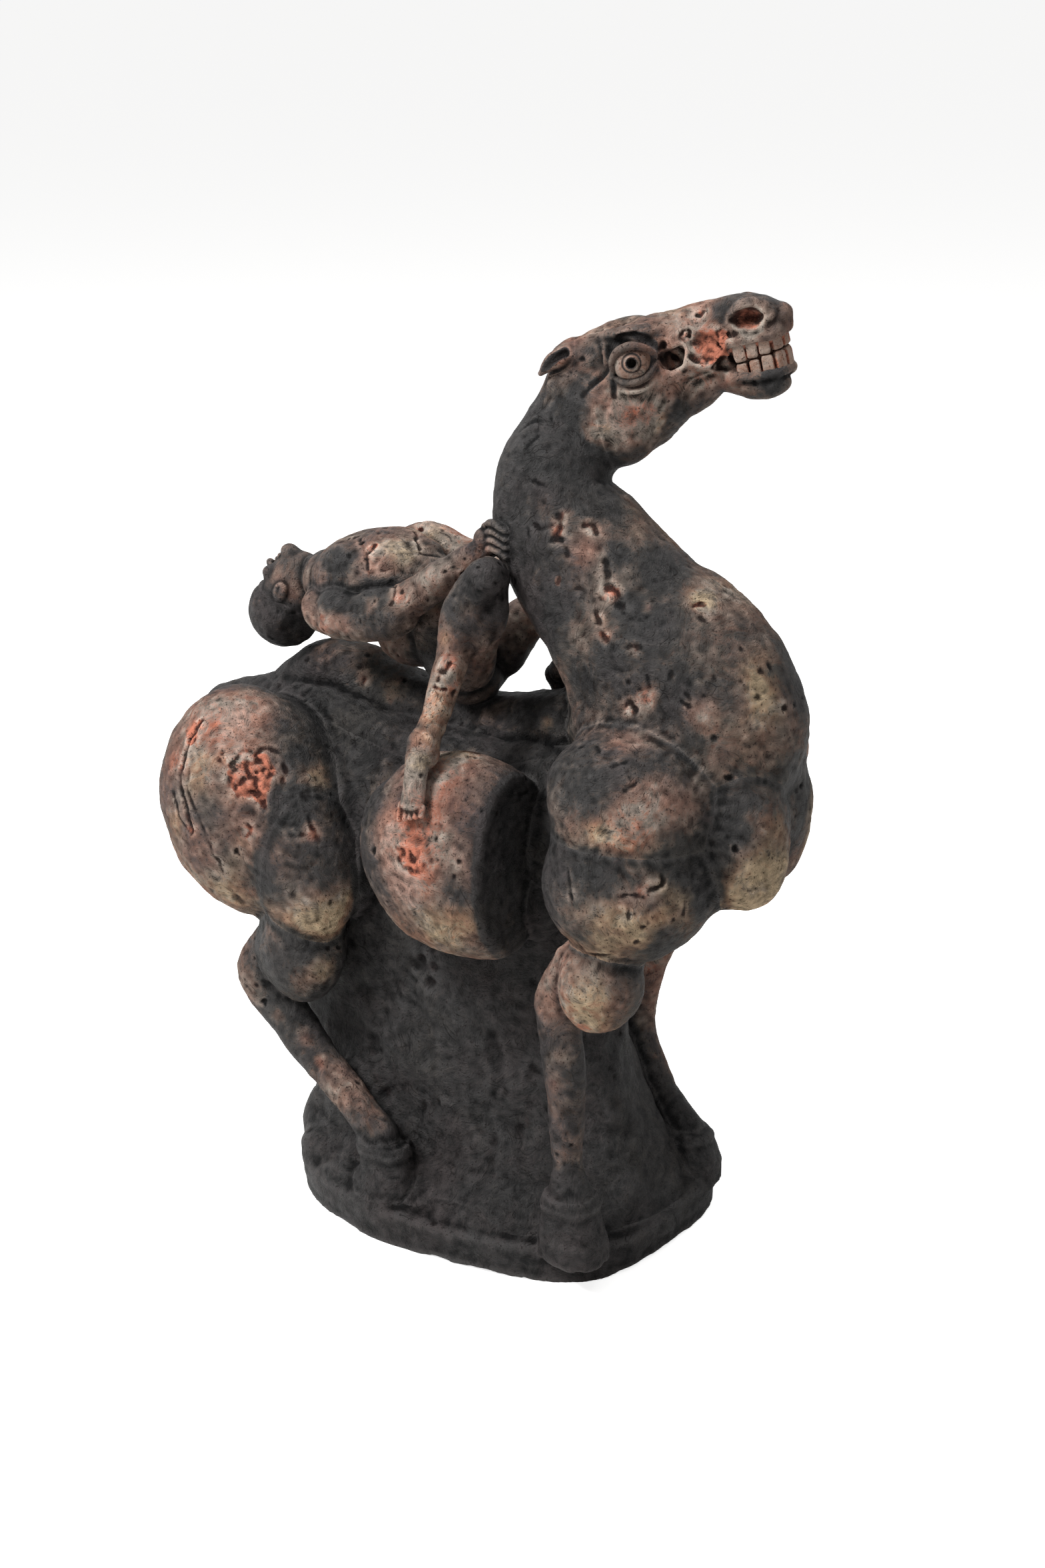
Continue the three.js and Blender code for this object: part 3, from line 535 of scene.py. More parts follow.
# The rider's head hangs back, so its crown points down and the face looks up and behind. The face is
# a plain calm one on the usual proportions: eyes halfway between crown and chin, nose and lips below.
def riderHeadShapes():
    axes = leant(riderHead["lean"])
    middle = np.array([riderHead["along"], riderHead["out"], slabTop + riderHead["height"]], float)

    def at(face, aside, crown):
        return middle - face * axes[0] + aside * axes[1] - crown * axes[2]

    def lump(face, aside, crown, half, blend=2.0, carve=False):
        return ballAt(at(face, aside, crown), half, axes, blend, carve)

    def coil(stations, blend=1.6, across=1):
        return rollAt([(*at(f, a, c), *size) for f, a, c, *size in stations], blend, axes[across], 5)

    shapes = [ball(**riderHead), lump(13, 0, -19, (6, 6, 5), 4),
              coil([(16.5, 0, 4, 2, 2), (19.5, 0, 0, 2, 2), (22.5, 0, -4.5, 2.6, 2.4)]),
              coil([(17, -4.4, -10.2, 0.9, 0.9), (19.2, 0, -9.8, 1.6, 1.3), (17, 4.4, -10.2, 0.9, 0.9)], 1.0, 2),
              coil([(16.4, -4, -12.4, 0.9, 0.9), (18.2, 0, -13, 1.7, 1.5), (16.4, 4, -12.4, 0.9, 0.9)], 1.0, 2)]
    for side in (right, left):
        shapes += [
            coil([(15.5, side * 2.5, 4.6, 1.5, 1.5), (16.6, side * 7, 6, 1.8, 1.7),
                  (12.5, side * 13, 4.2, 1.4, 1.4)], 3, 2),
            lump(14.5, side * 9.5, -5, (5, 5, 4), 4), lump(20, side * 2.6, -5, (1.9, 1.7, 1.6), 1.2),
            lump(18.4, side * 7.2, 1.4, (3.6, 4.6, 3.0), 2.0, True), lump(14.6, side * 7.2, 0.8, (2.6, 3.9, 2.3), 0.8),
            lump(-2, side * 18.5, -4, (4.4, 2.4, 6.4), 1.5), lump(-1.6, side * 21.2, -4, (2.4, 1.6, 4.2), 0.8, True),
        ]
    return shapes


# The skin: every node with its forms, its voxel size and how it came out of the fire.
# soot, rose, ochre and raw say how much of each colour it took, the crease setting how strongly its creases darken with
# soot and painted shade, and ragged how roughly it was worked.
# Each step, in mm, is taken times stepShare, which makes every grid a little coarser and so cuts the number of
# triangles.
nodes = []
stepShare = 1.12
plain = dict(step=1.0, blend=5.0, ragged=1.0, pitted=1.0, lobe=0.0, crease=1.0, soot=0.0, rose=0.0, ochre=0.0, raw=0.0)


def node(name, slot, shapes, **settings):
    solid = [s for s in shapes if not s["carve"]]
    made = dict(plain, name=name, slot=slot, shapes=shapes, **settings)
    made.update(low=np.min([s["low"] for s in solid], axis=0), high=np.max([s["high"] for s in solid], axis=0))
    made["step"] *= stepShare
    nodes.append(made)


# The same node on both sides, right before left. A setting of two values has the right one's first.
def pair(name, slot, makeShapes, **settings):
    for k, (word, side) in enumerate(sides):
        own = {key: value[k] if isinstance(value, tuple) else value for key, value in settings.items()}
        node(f"{name}_{word}", slot, makeShapes(side), **own)


def lobePair(name, slot, near, far, **settings):
    pair(name, slot, lambda side: [ball(**(near if side == right else far), side=side)], lobe=1, **settings)


def legPair(name, near, far, **settings):
    pair(name, "clay_smoke", lambda side: [roll(near if side == right else far, side)], **settings)


def hoofPair(name, near, far):
    pair(name, "clay_charcoal", lambda side: [hoofShape(near if side == right else far, side)],
         blend=8, ragged=1.5, pitted=0.4, soot=1.0)


node("base_slab", "clay_charcoal", [slabShape(), *rimLumps], step=1.7, pitted=0.6, soot=1.3)
node("rock_support", "clay_charcoal", [rockShape(), *rockFills], step=1.65, blend=10, ragged=2.0, pitted=0.8, soot=1.3)
node("trunk", "clay_charcoal", [roll(trunk, blend=6)], step=1.7, blend=10, ragged=1.7, pitted=0.6, soot=0.65)
node("back_ridge", "clay_grey_brown", [roll(ridge), roll(ridgeFold, blend=3.5)], step=1.15, blend=6, ragged=1.3,
     soot=0.6)
node("croup", "clay_smoke", [roll(croup)], step=1.2, blend=8, ragged=1.2, soot=0.36)
node("tail", "clay_charcoal", [roll(tail)], step=1.3, blend=6, ragged=1.2, soot=0.4)
lobePair("haunch", "clay_rose", haunch, haunch, step=(1.1, 1.5), blend=10, rose=0.08)
lobePair("thigh", "clay_grey_brown", thigh, thigh, step=(1.1, 1.5), blend=22)
lobePair("gaskin", "clay_orange", gaskin, gaskin, step=(1.0, 1.4), blend=8, soot=0.12)
pair("flank_lobe", "clay_rose", lambda side: [dict(ball(**flank, side=side), flatFront=flankFront)],
     step=(1.1, 1.5), blend=6, lobe=1, rose=0.1, soot=(0.1, 0.0))
lobePair("shoulder_lobe", "clay_rose", shoulder, shoulder, step=(1.1, 1.5), blend=20, rose=(0.1, 0.08),
         soot=(0.16, 0.0))
lobePair("upper_arm_lobe", "clay_olive", upperArm, farUpperArm, step=(1.1, 1.5), blend=22, soot=(0.75, 0.0))
lobePair("breast_lobe", "clay_grey_brown", breast, farBreast, step=(1.1, 1.3), blend=(20, 12), ochre=(0.08, 0.0),
         soot=(0.08, 0.2))
lobePair("forearm", "clay_olive", forearm, farForearm, step=(1.0, 1.2), blend=8, ochre=(0.08, 0.0), soot=(0.0, 0.2))
legPair("hind_leg", hindLeg, hindLeg, step=(1.0, 1.3), blend=10, soot=0.2)
legPair("fore_leg", foreLeg, farForeLeg, step=(1.0, 1.1), blend=8, soot=(0.08, 0.15))
hoofPair("hind_hoof", hindHoof, hindHoof)
hoofPair("fore_hoof", foreHoof, farForeHoof)
node("neck", "clay_grey_brown", [roll(neck, perSpan=18)], step=1.2, blend=20, ragged=1.05, crease=0.3, soot=0.36)
node("skull", "clay_grey_brown", skullShapes(), step=0.72, blend=10, ragged=1.05, crease=0.15, soot=0.1, raw=-0.14,
     rose=-0.1)
node("lower_jaw", "clay_grey_brown", jawShapes(), step=0.7, blend=4, ragged=0.95, crease=0.15, soot=0.2, raw=-0.1,
     rose=-0.06)
pair("ear", "clay_smoke", earShapes, step=(0.5, 0.7), blend=3, ragged=0.8, crease=0.5, soot=0.25)
pair("eye_rim", "clay_smoke", eyeRimShapes, step=(0.4, 0.5), blend=1.2, ragged=0.3, pitted=0.3)
node("rider_waist", "clay_smoke", [roll(riderWaist), ball(**riderLowerBack)], step=0.95, blend=3, soot=0.2)
node("rider_torso", "clay_rose", [roll(riderTorso), *balls(riderChest)], step=0.8, blend=4, crease=0.6)
node("rider_neck", "clay_smoke", [roll(riderNeck)], step=0.7, blend=6, crease=0.4)
node("rider_hair", "clay_charcoal", [ball(**riderHair)], step=0.7, blend=2, ragged=1.4, soot=0.5)
node("rider_head", "clay_smoke", riderHeadShapes(), step=0.55, blend=2, ragged=0.45, pitted=0.6, crease=0.4, soot=0.05)
node("rider_leg_right", "clay_smoke", [roll(riderRightLeg, across=lengthwise), *balls(riderLegMuscles)], step=0.8,
     blend=3, crease=0.6, soot=0.3, raw=0.05)
node("rider_leg_left", "clay_smoke", [roll(riderLeftLeg)], step=0.9, blend=3, soot=0.15, crease=0.6)
node("rider_arm_right", "clay_smoke", [roll(riderRightArm), *balls(riderArmMuscles)], step=0.8, blend=3, crease=0.6,
     soot=0.1, raw=0.08)
node("rider_arm_left", "clay_smoke", [roll(riderLeftArm)], step=0.9, blend=3, crease=0.6)
pair("rider_hand", "clay_smoke", handShapes, step=(0.5, 0.6), blend=2, ragged=0.6, pitted=0.6, crease=0.6)
pair("rider_foot", "clay_smoke", footShapes, step=(0.5, 0.6), blend=2, ragged=0.6, pitted=0.6, crease=0.6)
carvings = [shape for n in nodes for shape in n["shapes"] if shape["carve"]]


# Distance to one node: its forms joined in turn, without its cuts
def nodeField(n, points):
    total = None
    for shape in n["shapes"]:
        if shape["carve"]:
            continue
        distance = fieldOf(shape, points)
        total = distance if total is None else smoothLeast(total, distance, shape["blend"])
    return total


# How far a node or a cut is felt beyond its box, in mm, and how ragged a cut runs: its form is looked
# up at points pushed about by two soft noises, each with its wave and its height in mm
reachPad = 22.0
cutPad = 6.0
cutTear = dict(ball=1.0, roll=0.3, coarse=(8.0, 2.2), fine=(3.4, 0.9))


def isApart(thing, low, high):
    return np.any(thing["low"] > high) or np.any(thing["high"] < low)


def inBox(points, low, high):
    return np.nonzero(np.all((points > low) & (points < high), axis=1))[0]


# The whole skin near some points: all nodes joined in the order of the list, less every cut.
# Also the distance to one chosen node, and to the nearest of the others.
def skin(points, own):
    low, high = points.min(0) - reachPad, points.max(0) + reachPad
    whole, mine, other = (np.full(len(points), farAway, np.float32) for _ in range(3))
    for n in nodes:
        if isApart(n, low, high):
            continue
        isOwn = n is own
        chosen = np.arange(len(points)) if isOwn else inBox(points, n["low"] - reachPad, n["high"] + reachPad)
        if len(chosen) == 0:
            continue
        distance = nodeField(n, points[chosen])
        whole[chosen] = smoothLeast(whole[chosen], distance, n["blend"])
        if isOwn:
            mine = distance
        else:
            other[chosen] = np.minimum(other[chosen], distance)
    for shape in carvings:
        if isApart(shape, low, high):
            continue
        chosen = inBox(points, shape["low"] - cutPad, shape["high"] + cutPad)
        if len(chosen):
            torn = points[chosen]
            (wave, tall), (fineWave, fineTall) = cutTear["coarse"], cutTear["fine"]
            push = np.stack([tall * softNoise(torn, wave, k) + fineTall * softNoise(torn, fineWave, k + 1)
                             for k in range(3)], 1)
            cut = -fieldOf(shape, torn + shape.get("torn", cutTear[shape["kind"]]) * push)
            whole[chosen] = smoothMost(whole[chosen], cut, shape["blend"])
    return whole, mine, other


# How far a node's own solid rises back out of the skin beyond the line where a neighbour takes over
diveOver = 4.0


def pieceField(n, points):
    whole, mine, other = skin(points, n)
    past = np.maximum(mine - other, 0)
    return whole, whole + past * past / diveOver


# Strokes cut or pressed into the clay by hand: a line of places, half width and depth
strokes = []


def stroke(places, wide, deep, wander=1.0):
    line = throughStations(np.array(places, float), 4)
    strokes.append(dict(line=line, wide=wide, deep=deep, wander=wander,
                        low=line.min(0) - wide - 2, high=line.max(0) + wide + 2))


# Cuts and cracks, from the haunch forward and then up the neck: half width, depth and the places on the way
cuts = [
    (1.6, 1.5, -135.1, -94.3, 280.5, -128.7, -94.5, 277.5, -121.7, -86.8, 286.1, -114.9, -84.2, 284.5, -111.5,
     -78.7, 287.8, -102.9, -75.3, 282.1, -97.9, -79, 270.3),
    (2.2, 2.4, -126.9, -97.1, 270.1, -118.8, -96.2, 265, -109.5, -92.1, 263.4, -101.7, -87.6, 260.4, -98.3,
     -85.5, 259),
    (1.8, 2.0, -118.9, -90.6, 278.2, -112.6, -90.9, 271, -107.8, -91, 263.4),
    (2.2, 2.4, -157.4, -82.3, 296.7, -161.7, -88.7, 287, -162.7, -94.5, 275.6, -160.7, -99.3, 262.3, -154.7,
     -102.6, 249.4, -151, -103.2, 235.2),
    (1.2, 0.9, -154.7, -97.9, 271.6, -153.7, -101.7, 257.9, -143.3, -103.9, 245.5, -137.9, -103.4, 231.4,
     -132.3, -98.8, 211.6),
    (1.6, 1.6, -166.9, -98.8, 254.5, -161.6, -101.3, 241.2, -151.4, -103, 232.9),
    (2.2, 2.4, -112.4, -97.4, 244.3, -109.7, -96.2, 241.3, -112.5, -97.7, 237.5),
    (2.0, 2.0, -99.5, -93.5, 231.8, -88.7, -90.7, 239.5, -79.6, -86.1, 242, -73.9, -82.2, 239.8),
    (1.8, 2.0, -81.1, -80.5, 250.6, -76.9, -81.3, 245.3, -72.7, -82.1, 237.9),
    (1.4, 1.4, -71.6, -82.7, 184.1, -66.3, -74.6, 186.2),
    (2.4, 1.8, -5.1, -103.5, 258.1, 7.9, -105.5, 251.2, 15.8, -105.2, 246.6, 18.8, -104.5, 249),
    (2.0, 2.0, 36.2, -97.9, 253.5, 41.4, -93.6, 258.3, 46.3, -87.3, 263.4, 45.5, -84.4, 270.4),
    (4.2, 3.0, 44.4, -89.5, 263.3, 45, -89.5, 261.8),
    (1.5, 1.3, 38.9, -76.1, 286.4, 41, -69, 287.1, 39, -55.5, 287.9),
    (1.6, 1.6, 30.9, -97.5, 218.6, 35.2, -95.2, 218.4), (2.2, 2.0, 28.1, -92.6, 205.5, 32.1, -92.3, 208.4),
    (1.6, 1.6, 36, -84.7, 201.9, 39.2, -72.1, 196.1), (1.3, 1.2, 12.3, -83.1, 189, 22.8, -72.4, 186.1),
    (0.9, 0.9, 18.6, -104.5, 234.3, 19, -103.6, 228.4), (0.9, 0.9, 26.5, -102.5, 234.1, 26.4, -101.8, 228.9),
    (1.4, 1.5, 111, -74.8, 328.1, 117.5, -81.8, 325.4), (1.4, 1.5, 127.7, -86.3, 321.5, 133.6, -80.4, 324),
    (1.4, 1.5, 139.2, -91.3, 311.7, 142, -87.2, 314.8, 143.1, -83.9, 317.1),
    (1.2, 1.2, 136.8, -83.9, 320.5, 139.1, -86.6, 317.2),
    (1.7, 1.9, 159.3, -72.4, 275.7, 156.1, -81.2, 271.9, 156.8, -86, 267.8, 160.4, -87.6, 261.3, 155.3, -93.9,
     259.9, 150, -99.1, 257, 144.5, -102.2, 256.5),
    (1.2, 1.2, 147.3, -101.6, 253.4, 148.1, -101.9, 243.6), (1.1, 1.1, 168.2, -79.7, 252.6, 169.2, -78.4, 242.6),
    (1.2, 1.2, 159.5, -93.6, 245.6, 161.8, -90, 239),
    (1.8, 1.4, 92.8, -93.2, 230.8, 107.5, -99, 225.6, 116.5, -92.3, 215.3, 133.3, -95.1, 218.1),
    (0.9, 0.8, 182.6, -49.3, 253.1, 192.3, -43.9, 252.4), (1.0, 0.9, 189, -42.4, 293.7, 194.2, -40.1, 287.3),
    (2.0, 2.2, 114.2, -51.8, 342.5, 118.3, -51.5, 346.9, 121.4, -52.3, 340.9),
    (1.6, 1.6, 147.2, -46.7, 350.9, 151.1, -46.2, 348.2),
    (2.4, 2.0, -50, -48.9, 125.4, -46.8, -50.1, 118.7, -40.1, -50.7, 116.1),
    (1.6, 1.2, -45.2, -48.1, 143.1, -39.9, -48.6, 135.5), (1.8, 1.6, 111.3, -102.1, 263.5, 115.6, -107.1, 250.3),
    (3.0, 3.0, 58.7, -31.4, 437.4, 60.9, -33.8, 430.7, 58.7, -36, 425.9, 62.8, -35.6, 424.9),
    (1.8, 1.8, 45.5, -35.5, 432, 52.8, -35.6, 429.8, 58.7, -32.6, 434.9),
    (2.2, 2.2, 73.6, -26.8, 434, 77.5, -25.2, 433, 79.7, -25.9, 430.3),
    (1.5, 1.5, 41, -28.6, 454.5, 47.7, -27.9, 452.4),
    (2.8, 2.0, 88.9, -31.9, 416.7, 93.3, -34.5, 410.5, 93.6, -37.2, 406.2, 100.9, -37.6, 401.1, 102.5, -40.1,
     395.7),
    (1.1, 0.9, 91.9, -41.2, 399.4, 100.1, -40.8, 395.6, 108.8, -41.4, 390.8, 114.2, -41.1, 389, 120.5, -37.7,
     391.4),
    (2.4, 1.9, 92.4, -44.1, 391.5, 94, -45.6, 385.9), (2.4, 1.9, 95.7, -47.1, 380.3, 100.6, -47.8, 376.2),
    (1.4, 1.4, 77, -42.2, 401.3, 83.8, -41.7, 401.2),
    (1.6, 1.5, 112.4, -46.9, 375.3, 118.4, -45.5, 376.9, 115.6, -47.6, 371.1),
    (1.6, 1.8, 126.1, -48.8, 360.7, 127.9, -49.3, 357.1), (1.4, 1.5, 138.9, -45, 364.3, 138.4, -46.3, 360.6),
    (1.6, 1.8, 148.6, -45, 354.7, 151.4, -45.1, 351.3), (2.0, 2.0, 139.5, -22.2, 397.1, 143.8, -19.1, 396.8),
    (2.0, 1.8, 145.1, -25.9, 391.4, 148, -25.7, 389.1),
    (1.3, 1.3, 32, -21.4, 470.1, 34.3, -19.4, 473.7, 37.2, -17.2, 476.9),
    (1.6, 1.4, 22.5, -13.5, 477, 27.5, -12.1, 481.6, 38.5, -12.4, 485.6),
    (1.2, 1.2, 39, -10.9, 488.7, 42.9, -13.1, 484), (1.5, 1.5, 41.6, -36.2, 428.8, 43.2, -36.9, 425.4),
    (1.4, 1.3, 106.5, -49.5, 363.3, 112, -49.4, 362.9), (1.4, 1.3, 66, -36.2, 422, 68.9, -37.3, 417.6),
    (2.0, 2.6, -71.7, -22.4, 403.3, -72.4, -26.4, 400.8, -73.8, -30.5, 396.8),
    (1.3, 1.4, -85.1, -18.9, 403.9, -74.2, -29, 398.4, -69.8, -34, 390.8, -65.4, -34.4, 382.3),
    (1.4, 1.5, -63.6, 5.6, 405.9, -51.7, -6.2, 402, -47.6, -11.2, 398.3, -41.8, -3.2, 396.4),
    (1.2, 1.2, -67.7, -34.4, 388.6, -60.6, -31.1, 390.1, -55.8, -27.8, 391.4, -49.3, -24.9, 389.1),
    (1.4, 1.5, -54.7, -29.6, 384.7, -43.6, -41.7, 383, -43.2, -45.7, 376.1),
    (1.1, 1.1, -93.5, -46, 358.3, -93.3, -44.3, 352.6),
    (2.4, 2.2, 6.2, -67.5, 349.9, 8.1, -65.9, 352.4, 9, -65.1, 353.6),
    (1.2, 1.2, 8.5, -64.2, 358.4, 6.2, -66.4, 353.5, 4.5, -69.5, 345),
    (1.3, 1.5, -95, -6.4, 317.4, -91.6, -7.9, 314.2, -91.6, -9.5, 310.4),
    (1.3, 1.2, 3.2, -70.9, 341.3, 9.3, -68.9, 339.8)
]

for wide, deep, *way in cuts:
    places = np.reshape(way, (-1, 3))
    stroke(places, wide, deep)
    if places[0][1] < -20 and wide > 1.2:
        stroke(places * (1, -1, 1), wide, deep)


# Long gouges down the sides of the rock, where clay was pulled away in handfuls
gouges = dict(count=11, wide=(4.5, 10), deep=(1.8, 3.8), along=(-95, 85), heights=(30, 150), length=(16, 44),
              wander=1.2)


def pullGouges():
    rng = np.random.default_rng(5)
    rings = np.array(rock["rings"], float)
    for _ in range(gouges["count"]):
        x, z = rng.uniform(*gouges["along"]), rng.uniform(*gouges["heights"])
        lean, length = rng.normal(0, 0.45), rng.uniform(*gouges["length"])
        wide, deep = rng.uniform(*gouges["wide"]), rng.uniform(*gouges["deep"])
        run = np.linspace(-0.5, 0.5, 4) * length
        spine = np.stack([x + run * math.sin(lean), z + run * math.cos(lean)], 1)
        for side in (right, left):
            places = []
            for px, pz in spine:
                middle, halfLong, halfWide = (np.interp(pz, rings[:, 0], rings[:, k]) for k in (1, 2, 3))
                off = min(abs(px - middle) / halfLong, 0.97)
                out = halfWide * (1 - off ** rock["square"]) ** (1 / rock["square"])
                places.append((px, side * out, slabTop + pz))
            stroke(places, wide, deep, gouges["wander"])


pullGouges()


# Depth of the strokes at some points: deepest on the line, rising to nothing at its half width,
# with the line bent and its edges torn by soft noise
def strokeDepth(points):
    total = np.zeros(len(points), np.float32)
    low, high = points.min(0), points.max(0)
    for s in strokes:
        if isApart(s, low, high):
            continue
        chosen = inBox(points, s["low"], s["high"])
        if len(chosen) == 0:
            continue
        p = points[chosen]
        p = p + s["wander"] * wobble(p, 6)
        p = p + min(0.45 * s["wide"], 0.9) * wobble(p, 2.8)
        best = np.full(len(p), np.inf)
        for a, b in zip(s["line"][:-1], s["line"][1:]):
            t = np.clip(((p - a) @ (b - a)) / ((b - a) @ (b - a)), 0, 1)
            best = np.minimum(best, ((p - a - t[:, None] * (b - a)) ** 2).sum(1))
        share = np.clip(1 - np.sqrt(best) / s["wide"], 0, 1)
        torn = np.clip(0.75 + 0.8 * softNoise(p, 5.0, 3), 0.15, 1.3)
        total[chosen] = np.maximum(total[chosen], s["deep"] * torn * share**0.7)
    return total


# Places where a skin of clay has flaked or crumbled away: place and size
flakes = [((-118, -92, 268), 19), ((-118, 92, 268), 16), ((-158, -88, 286), 8), ((8, -105, 250), 9),
          ((66, -38, 404), 5), ((90, -40, 352), 6)]
for side in (right, left):
    flakes += [(headPoint(82, side * 20, -4), 9.5), (headPoint(72, side * 19, 2), 5), (headPoint(80, side * 12, 12), 5)]


# Share of each point that has flaked: a disc whose edge is broken up by cloud and soft noise
def flakeShare(points):
    share = np.zeros(len(points), np.float32)
    for place, size in flakes:
        distance = np.linalg.norm(points - np.array(place, float), axis=1) / size
        near = distance < 2.0
        if near.any():
            ragged = 1 - distance[near] + 0.7 * cloud(points[near], 13.0, 2) + 0.3 * softNoise(points[near], 4.5, 1)
            share[near] = np.maximum(share[near], smoothStep(0.1, 0.4, ragged))
    return share


# Handwork: slow lumps, finer lumps, tool strokes drawn along the clay, pits, gouges, cuts and flakes.
# It is measured at the nearest place on the plain skin, so it doesn't change with depth.
# Lumps, sweep and push are waves with their heights in mm.
work = dict(lumps=((34, 1.3), (15, 0.9), (7, 0.34), (3.2, 0.26)), strokeWave=(13, 13, 2.6), strokeHeight=0.1,
            sweep=(42, 12), push=(3.0, 1.5), wornWave=30.0, roughWave=44.0, gouges=0.45, gougeScale=0.4)


# Depth of pits, in patches where the clay is worn, and of gouges, which are the same marks drawn larger
def pitDepth(points):
    worn = smoothStep(-0.2, 0.5, cloud(points, work["wornWave"], 3))
    rough = smoothStep(-0.1, 0.5, cloud(points, work["roughWave"], 1))
    wave, push = work["push"]
    pushed = points + push * wobble(points, wave)
    return sampleTile(pushed) * worn + sampleTile(pushed * work["gougeScale"]) * work["gouges"] * rough


def handwork(points, ragged, pitted):
    total = np.zeros(len(points), np.float32)
    for k, (wave, height) in enumerate(work["lumps"]):
        total += height * softNoise(points, wave, k)
    wave, sweep = work["sweep"]
    swept = points + sweep * wobble(points, wave)
    brushed = (softNoise(swept @ latticeTurns[0], work["strokeWave"], 1)
               + softNoise(swept @ latticeTurns[3], work["strokeWave"], 2))
    total = total * ragged + work["strokeHeight"] * brushed
    total -= pitDepth(points) * pitted + strokeDepth(points)
    ridges = np.exp(-(softNoise(points, 4.4, 3) / 0.1) ** 2)
    crumbs = 0.7 + 1.0 * ridges + 0.9 * softNoise(points, 2.6, 0) + 0.6 * softNoise(points, 9.0, 1)
    return total - flakeShare(points) * np.maximum(crumbs, 0.1)


# Net of quads over the zero surface of a grid: one point in each cell that the surface crosses,
# at the mean of the crossings on its edges, and one quad round each grid edge that it crosses
corners = np.array([[c >> 2 & 1, c >> 1 & 1, c & 1] for c in range(8)])
edges = [(a, b) for a in range(8) for b in range(a + 1, 8) if bin(a ^ b).count("1") == 1]


def surfaceNet(grid):
    inside = grid < 0
    cells = np.array(grid.shape) - 1
    filled = np.zeros(cells, np.uint8)
    for c in corners:
        filled += inside[c[0]:cells[0] + c[0], c[1]:cells[1] + c[1], c[2]:cells[2] + c[2]]
    active = (filled > 0) & (filled < 8)
    place = np.argwhere(active)
    values = np.stack([grid[tuple((place + c).T)] for c in corners], 1)
    total = np.zeros((len(place), 3), np.float32)
    count = np.zeros(len(place), np.float32)
    for a, b in edges:
        crossed = (values[:, a] < 0) != (values[:, b] < 0)
        share = values[:, a] / np.where(crossed, values[:, a] - values[:, b], 1)
        total += np.where(crossed[:, None], corners[a] + share[:, None] * (corners[b] - corners[a]), 0)
        count += crossed
    number = np.full(cells, -1, np.int32)
    number[active] = np.arange(len(place))
    quads = []
    for d in range(3):
        u, v = (d + 1) % 3, (d + 2) % 3
        lower = [slice(1, None)] * 3
        lower[d] = slice(0, -1)
        upper = [slice(1, None)] * 3
        start = np.array([1, 1, 1])
        start[d] = 0
        change = inside[tuple(lower)] != inside[tuple(upper)]
        at = np.argwhere(change) + start
        stepU, stepV = np.eye(3, dtype=int)[u], np.eye(3, dtype=int)[v]
        at = at[(at[:, u] < cells[u]) & (at[:, v] < cells[v])]
        steps = ((0, 0), (1, 0), (1, 1), (0, 1))
        ring = np.stack([number[tuple((at - a * stepU - b * stepV).T)] for a, b in steps], 1)
        turned = ~inside[tuple(at.T)]
        ring[turned] = ring[turned][:, ::-1]
        quads.append(ring)
    return place + total / count[:, None], np.concatenate(quads)


# A node's own share of the skin. A coarse grid first finds where its surface runs, and only the
# fine grid points near it are worked out. Pad, below, above and depth are in mm: the room round the
# box, how far from the surface a coarse point still counts, and how deep the handwork is felt.
pressing = dict(block=4, pad=7.0, margin=0.95, below=4, above=2, depth=3.6, dive=8)


def pressNode(n):
    block = pressing["block"]
    step = n["step"] * 1.0
    low, high = n["low"] - pressing["pad"], n["high"] + pressing["pad"]
    blocks = np.ceil((high - low) / (step * block)).astype(int)
    lines = [low[k] + np.arange(blocks[k] + 1) * step * block for k in range(3)]
    coarse = np.stack(np.meshgrid(*lines, indexing="ij"), -1)
    rough = pieceField(n, coarse.reshape(-1, 3).astype(np.float32))[1].reshape(blocks + 1)
    margin = pressing["margin"] * step * block
    close = (rough > -margin - pressing["below"]) & (rough < margin + pressing["above"])
    solid = rough < 0
    flag = np.zeros(blocks, bool)
    anySolid, allSolid = np.zeros(blocks, bool), np.ones(blocks, bool)
    for c in corners:
        window = tuple(slice(c[k], blocks[k] + c[k]) for k in range(3))
        flag |= close[window]
        anySolid |= solid[window]
        allSolid &= solid[window]
    wide = np.pad(anySolid & ~allSolid, 1)
    for k in range(3):
        wide = wide | np.roll(wide, 1, k) | np.roll(wide, -1, k)
    flag |= wide[1:-1, 1:-1, 1:-1]
    fine = np.where(allSolid, -farAway, farAway).astype(np.float32)
    for k in range(3):
        fine = np.repeat(fine, block, k)
        flag = np.repeat(flag, block, k)
    at = np.argwhere(flag)
    points = (low + at * step).astype(np.float32)
    whole, shaped = pieceField(n, points)
    field = np.full(fine.shape, farAway, np.float32)
    field[flag] = whole
    shift = shaped - whole
    inner = np.all((at > 0) & (at < np.array(fine.shape) - 1), axis=1)
    near = np.nonzero((np.abs(whole) < pressing["depth"]) & (shift < pressing["dive"]) & inner)[0]
    slope = np.empty((len(near), 3), np.float32)
    for k in range(3):
        one = np.eye(3, dtype=int)[k]
        slope[:, k] = field[tuple((at[near] + one).T)] - field[tuple((at[near] - one).T)]
    seat = points[near] - unit(slope) * whole[near, None]
    shaped[near] -= handwork(seat, n["ragged"], n["pitted"])
    if n["name"] == "base_slab":
        shaped = np.maximum(shaped, -points[:, 2])
    fine[flag] = shaped
    for k in range(3):
        first, last = [slice(None)] * 3, [slice(None)] * 3
        first[k], last[k] = 0, -1
        fine[tuple(first)] = np.maximum(fine[tuple(first)], 1.0)
        fine[tuple(last)] = np.maximum(fine[tuple(last)], 1.0)
    places, quads = surfaceNet(fine)
    return (low + places * step).astype(np.float32), quads


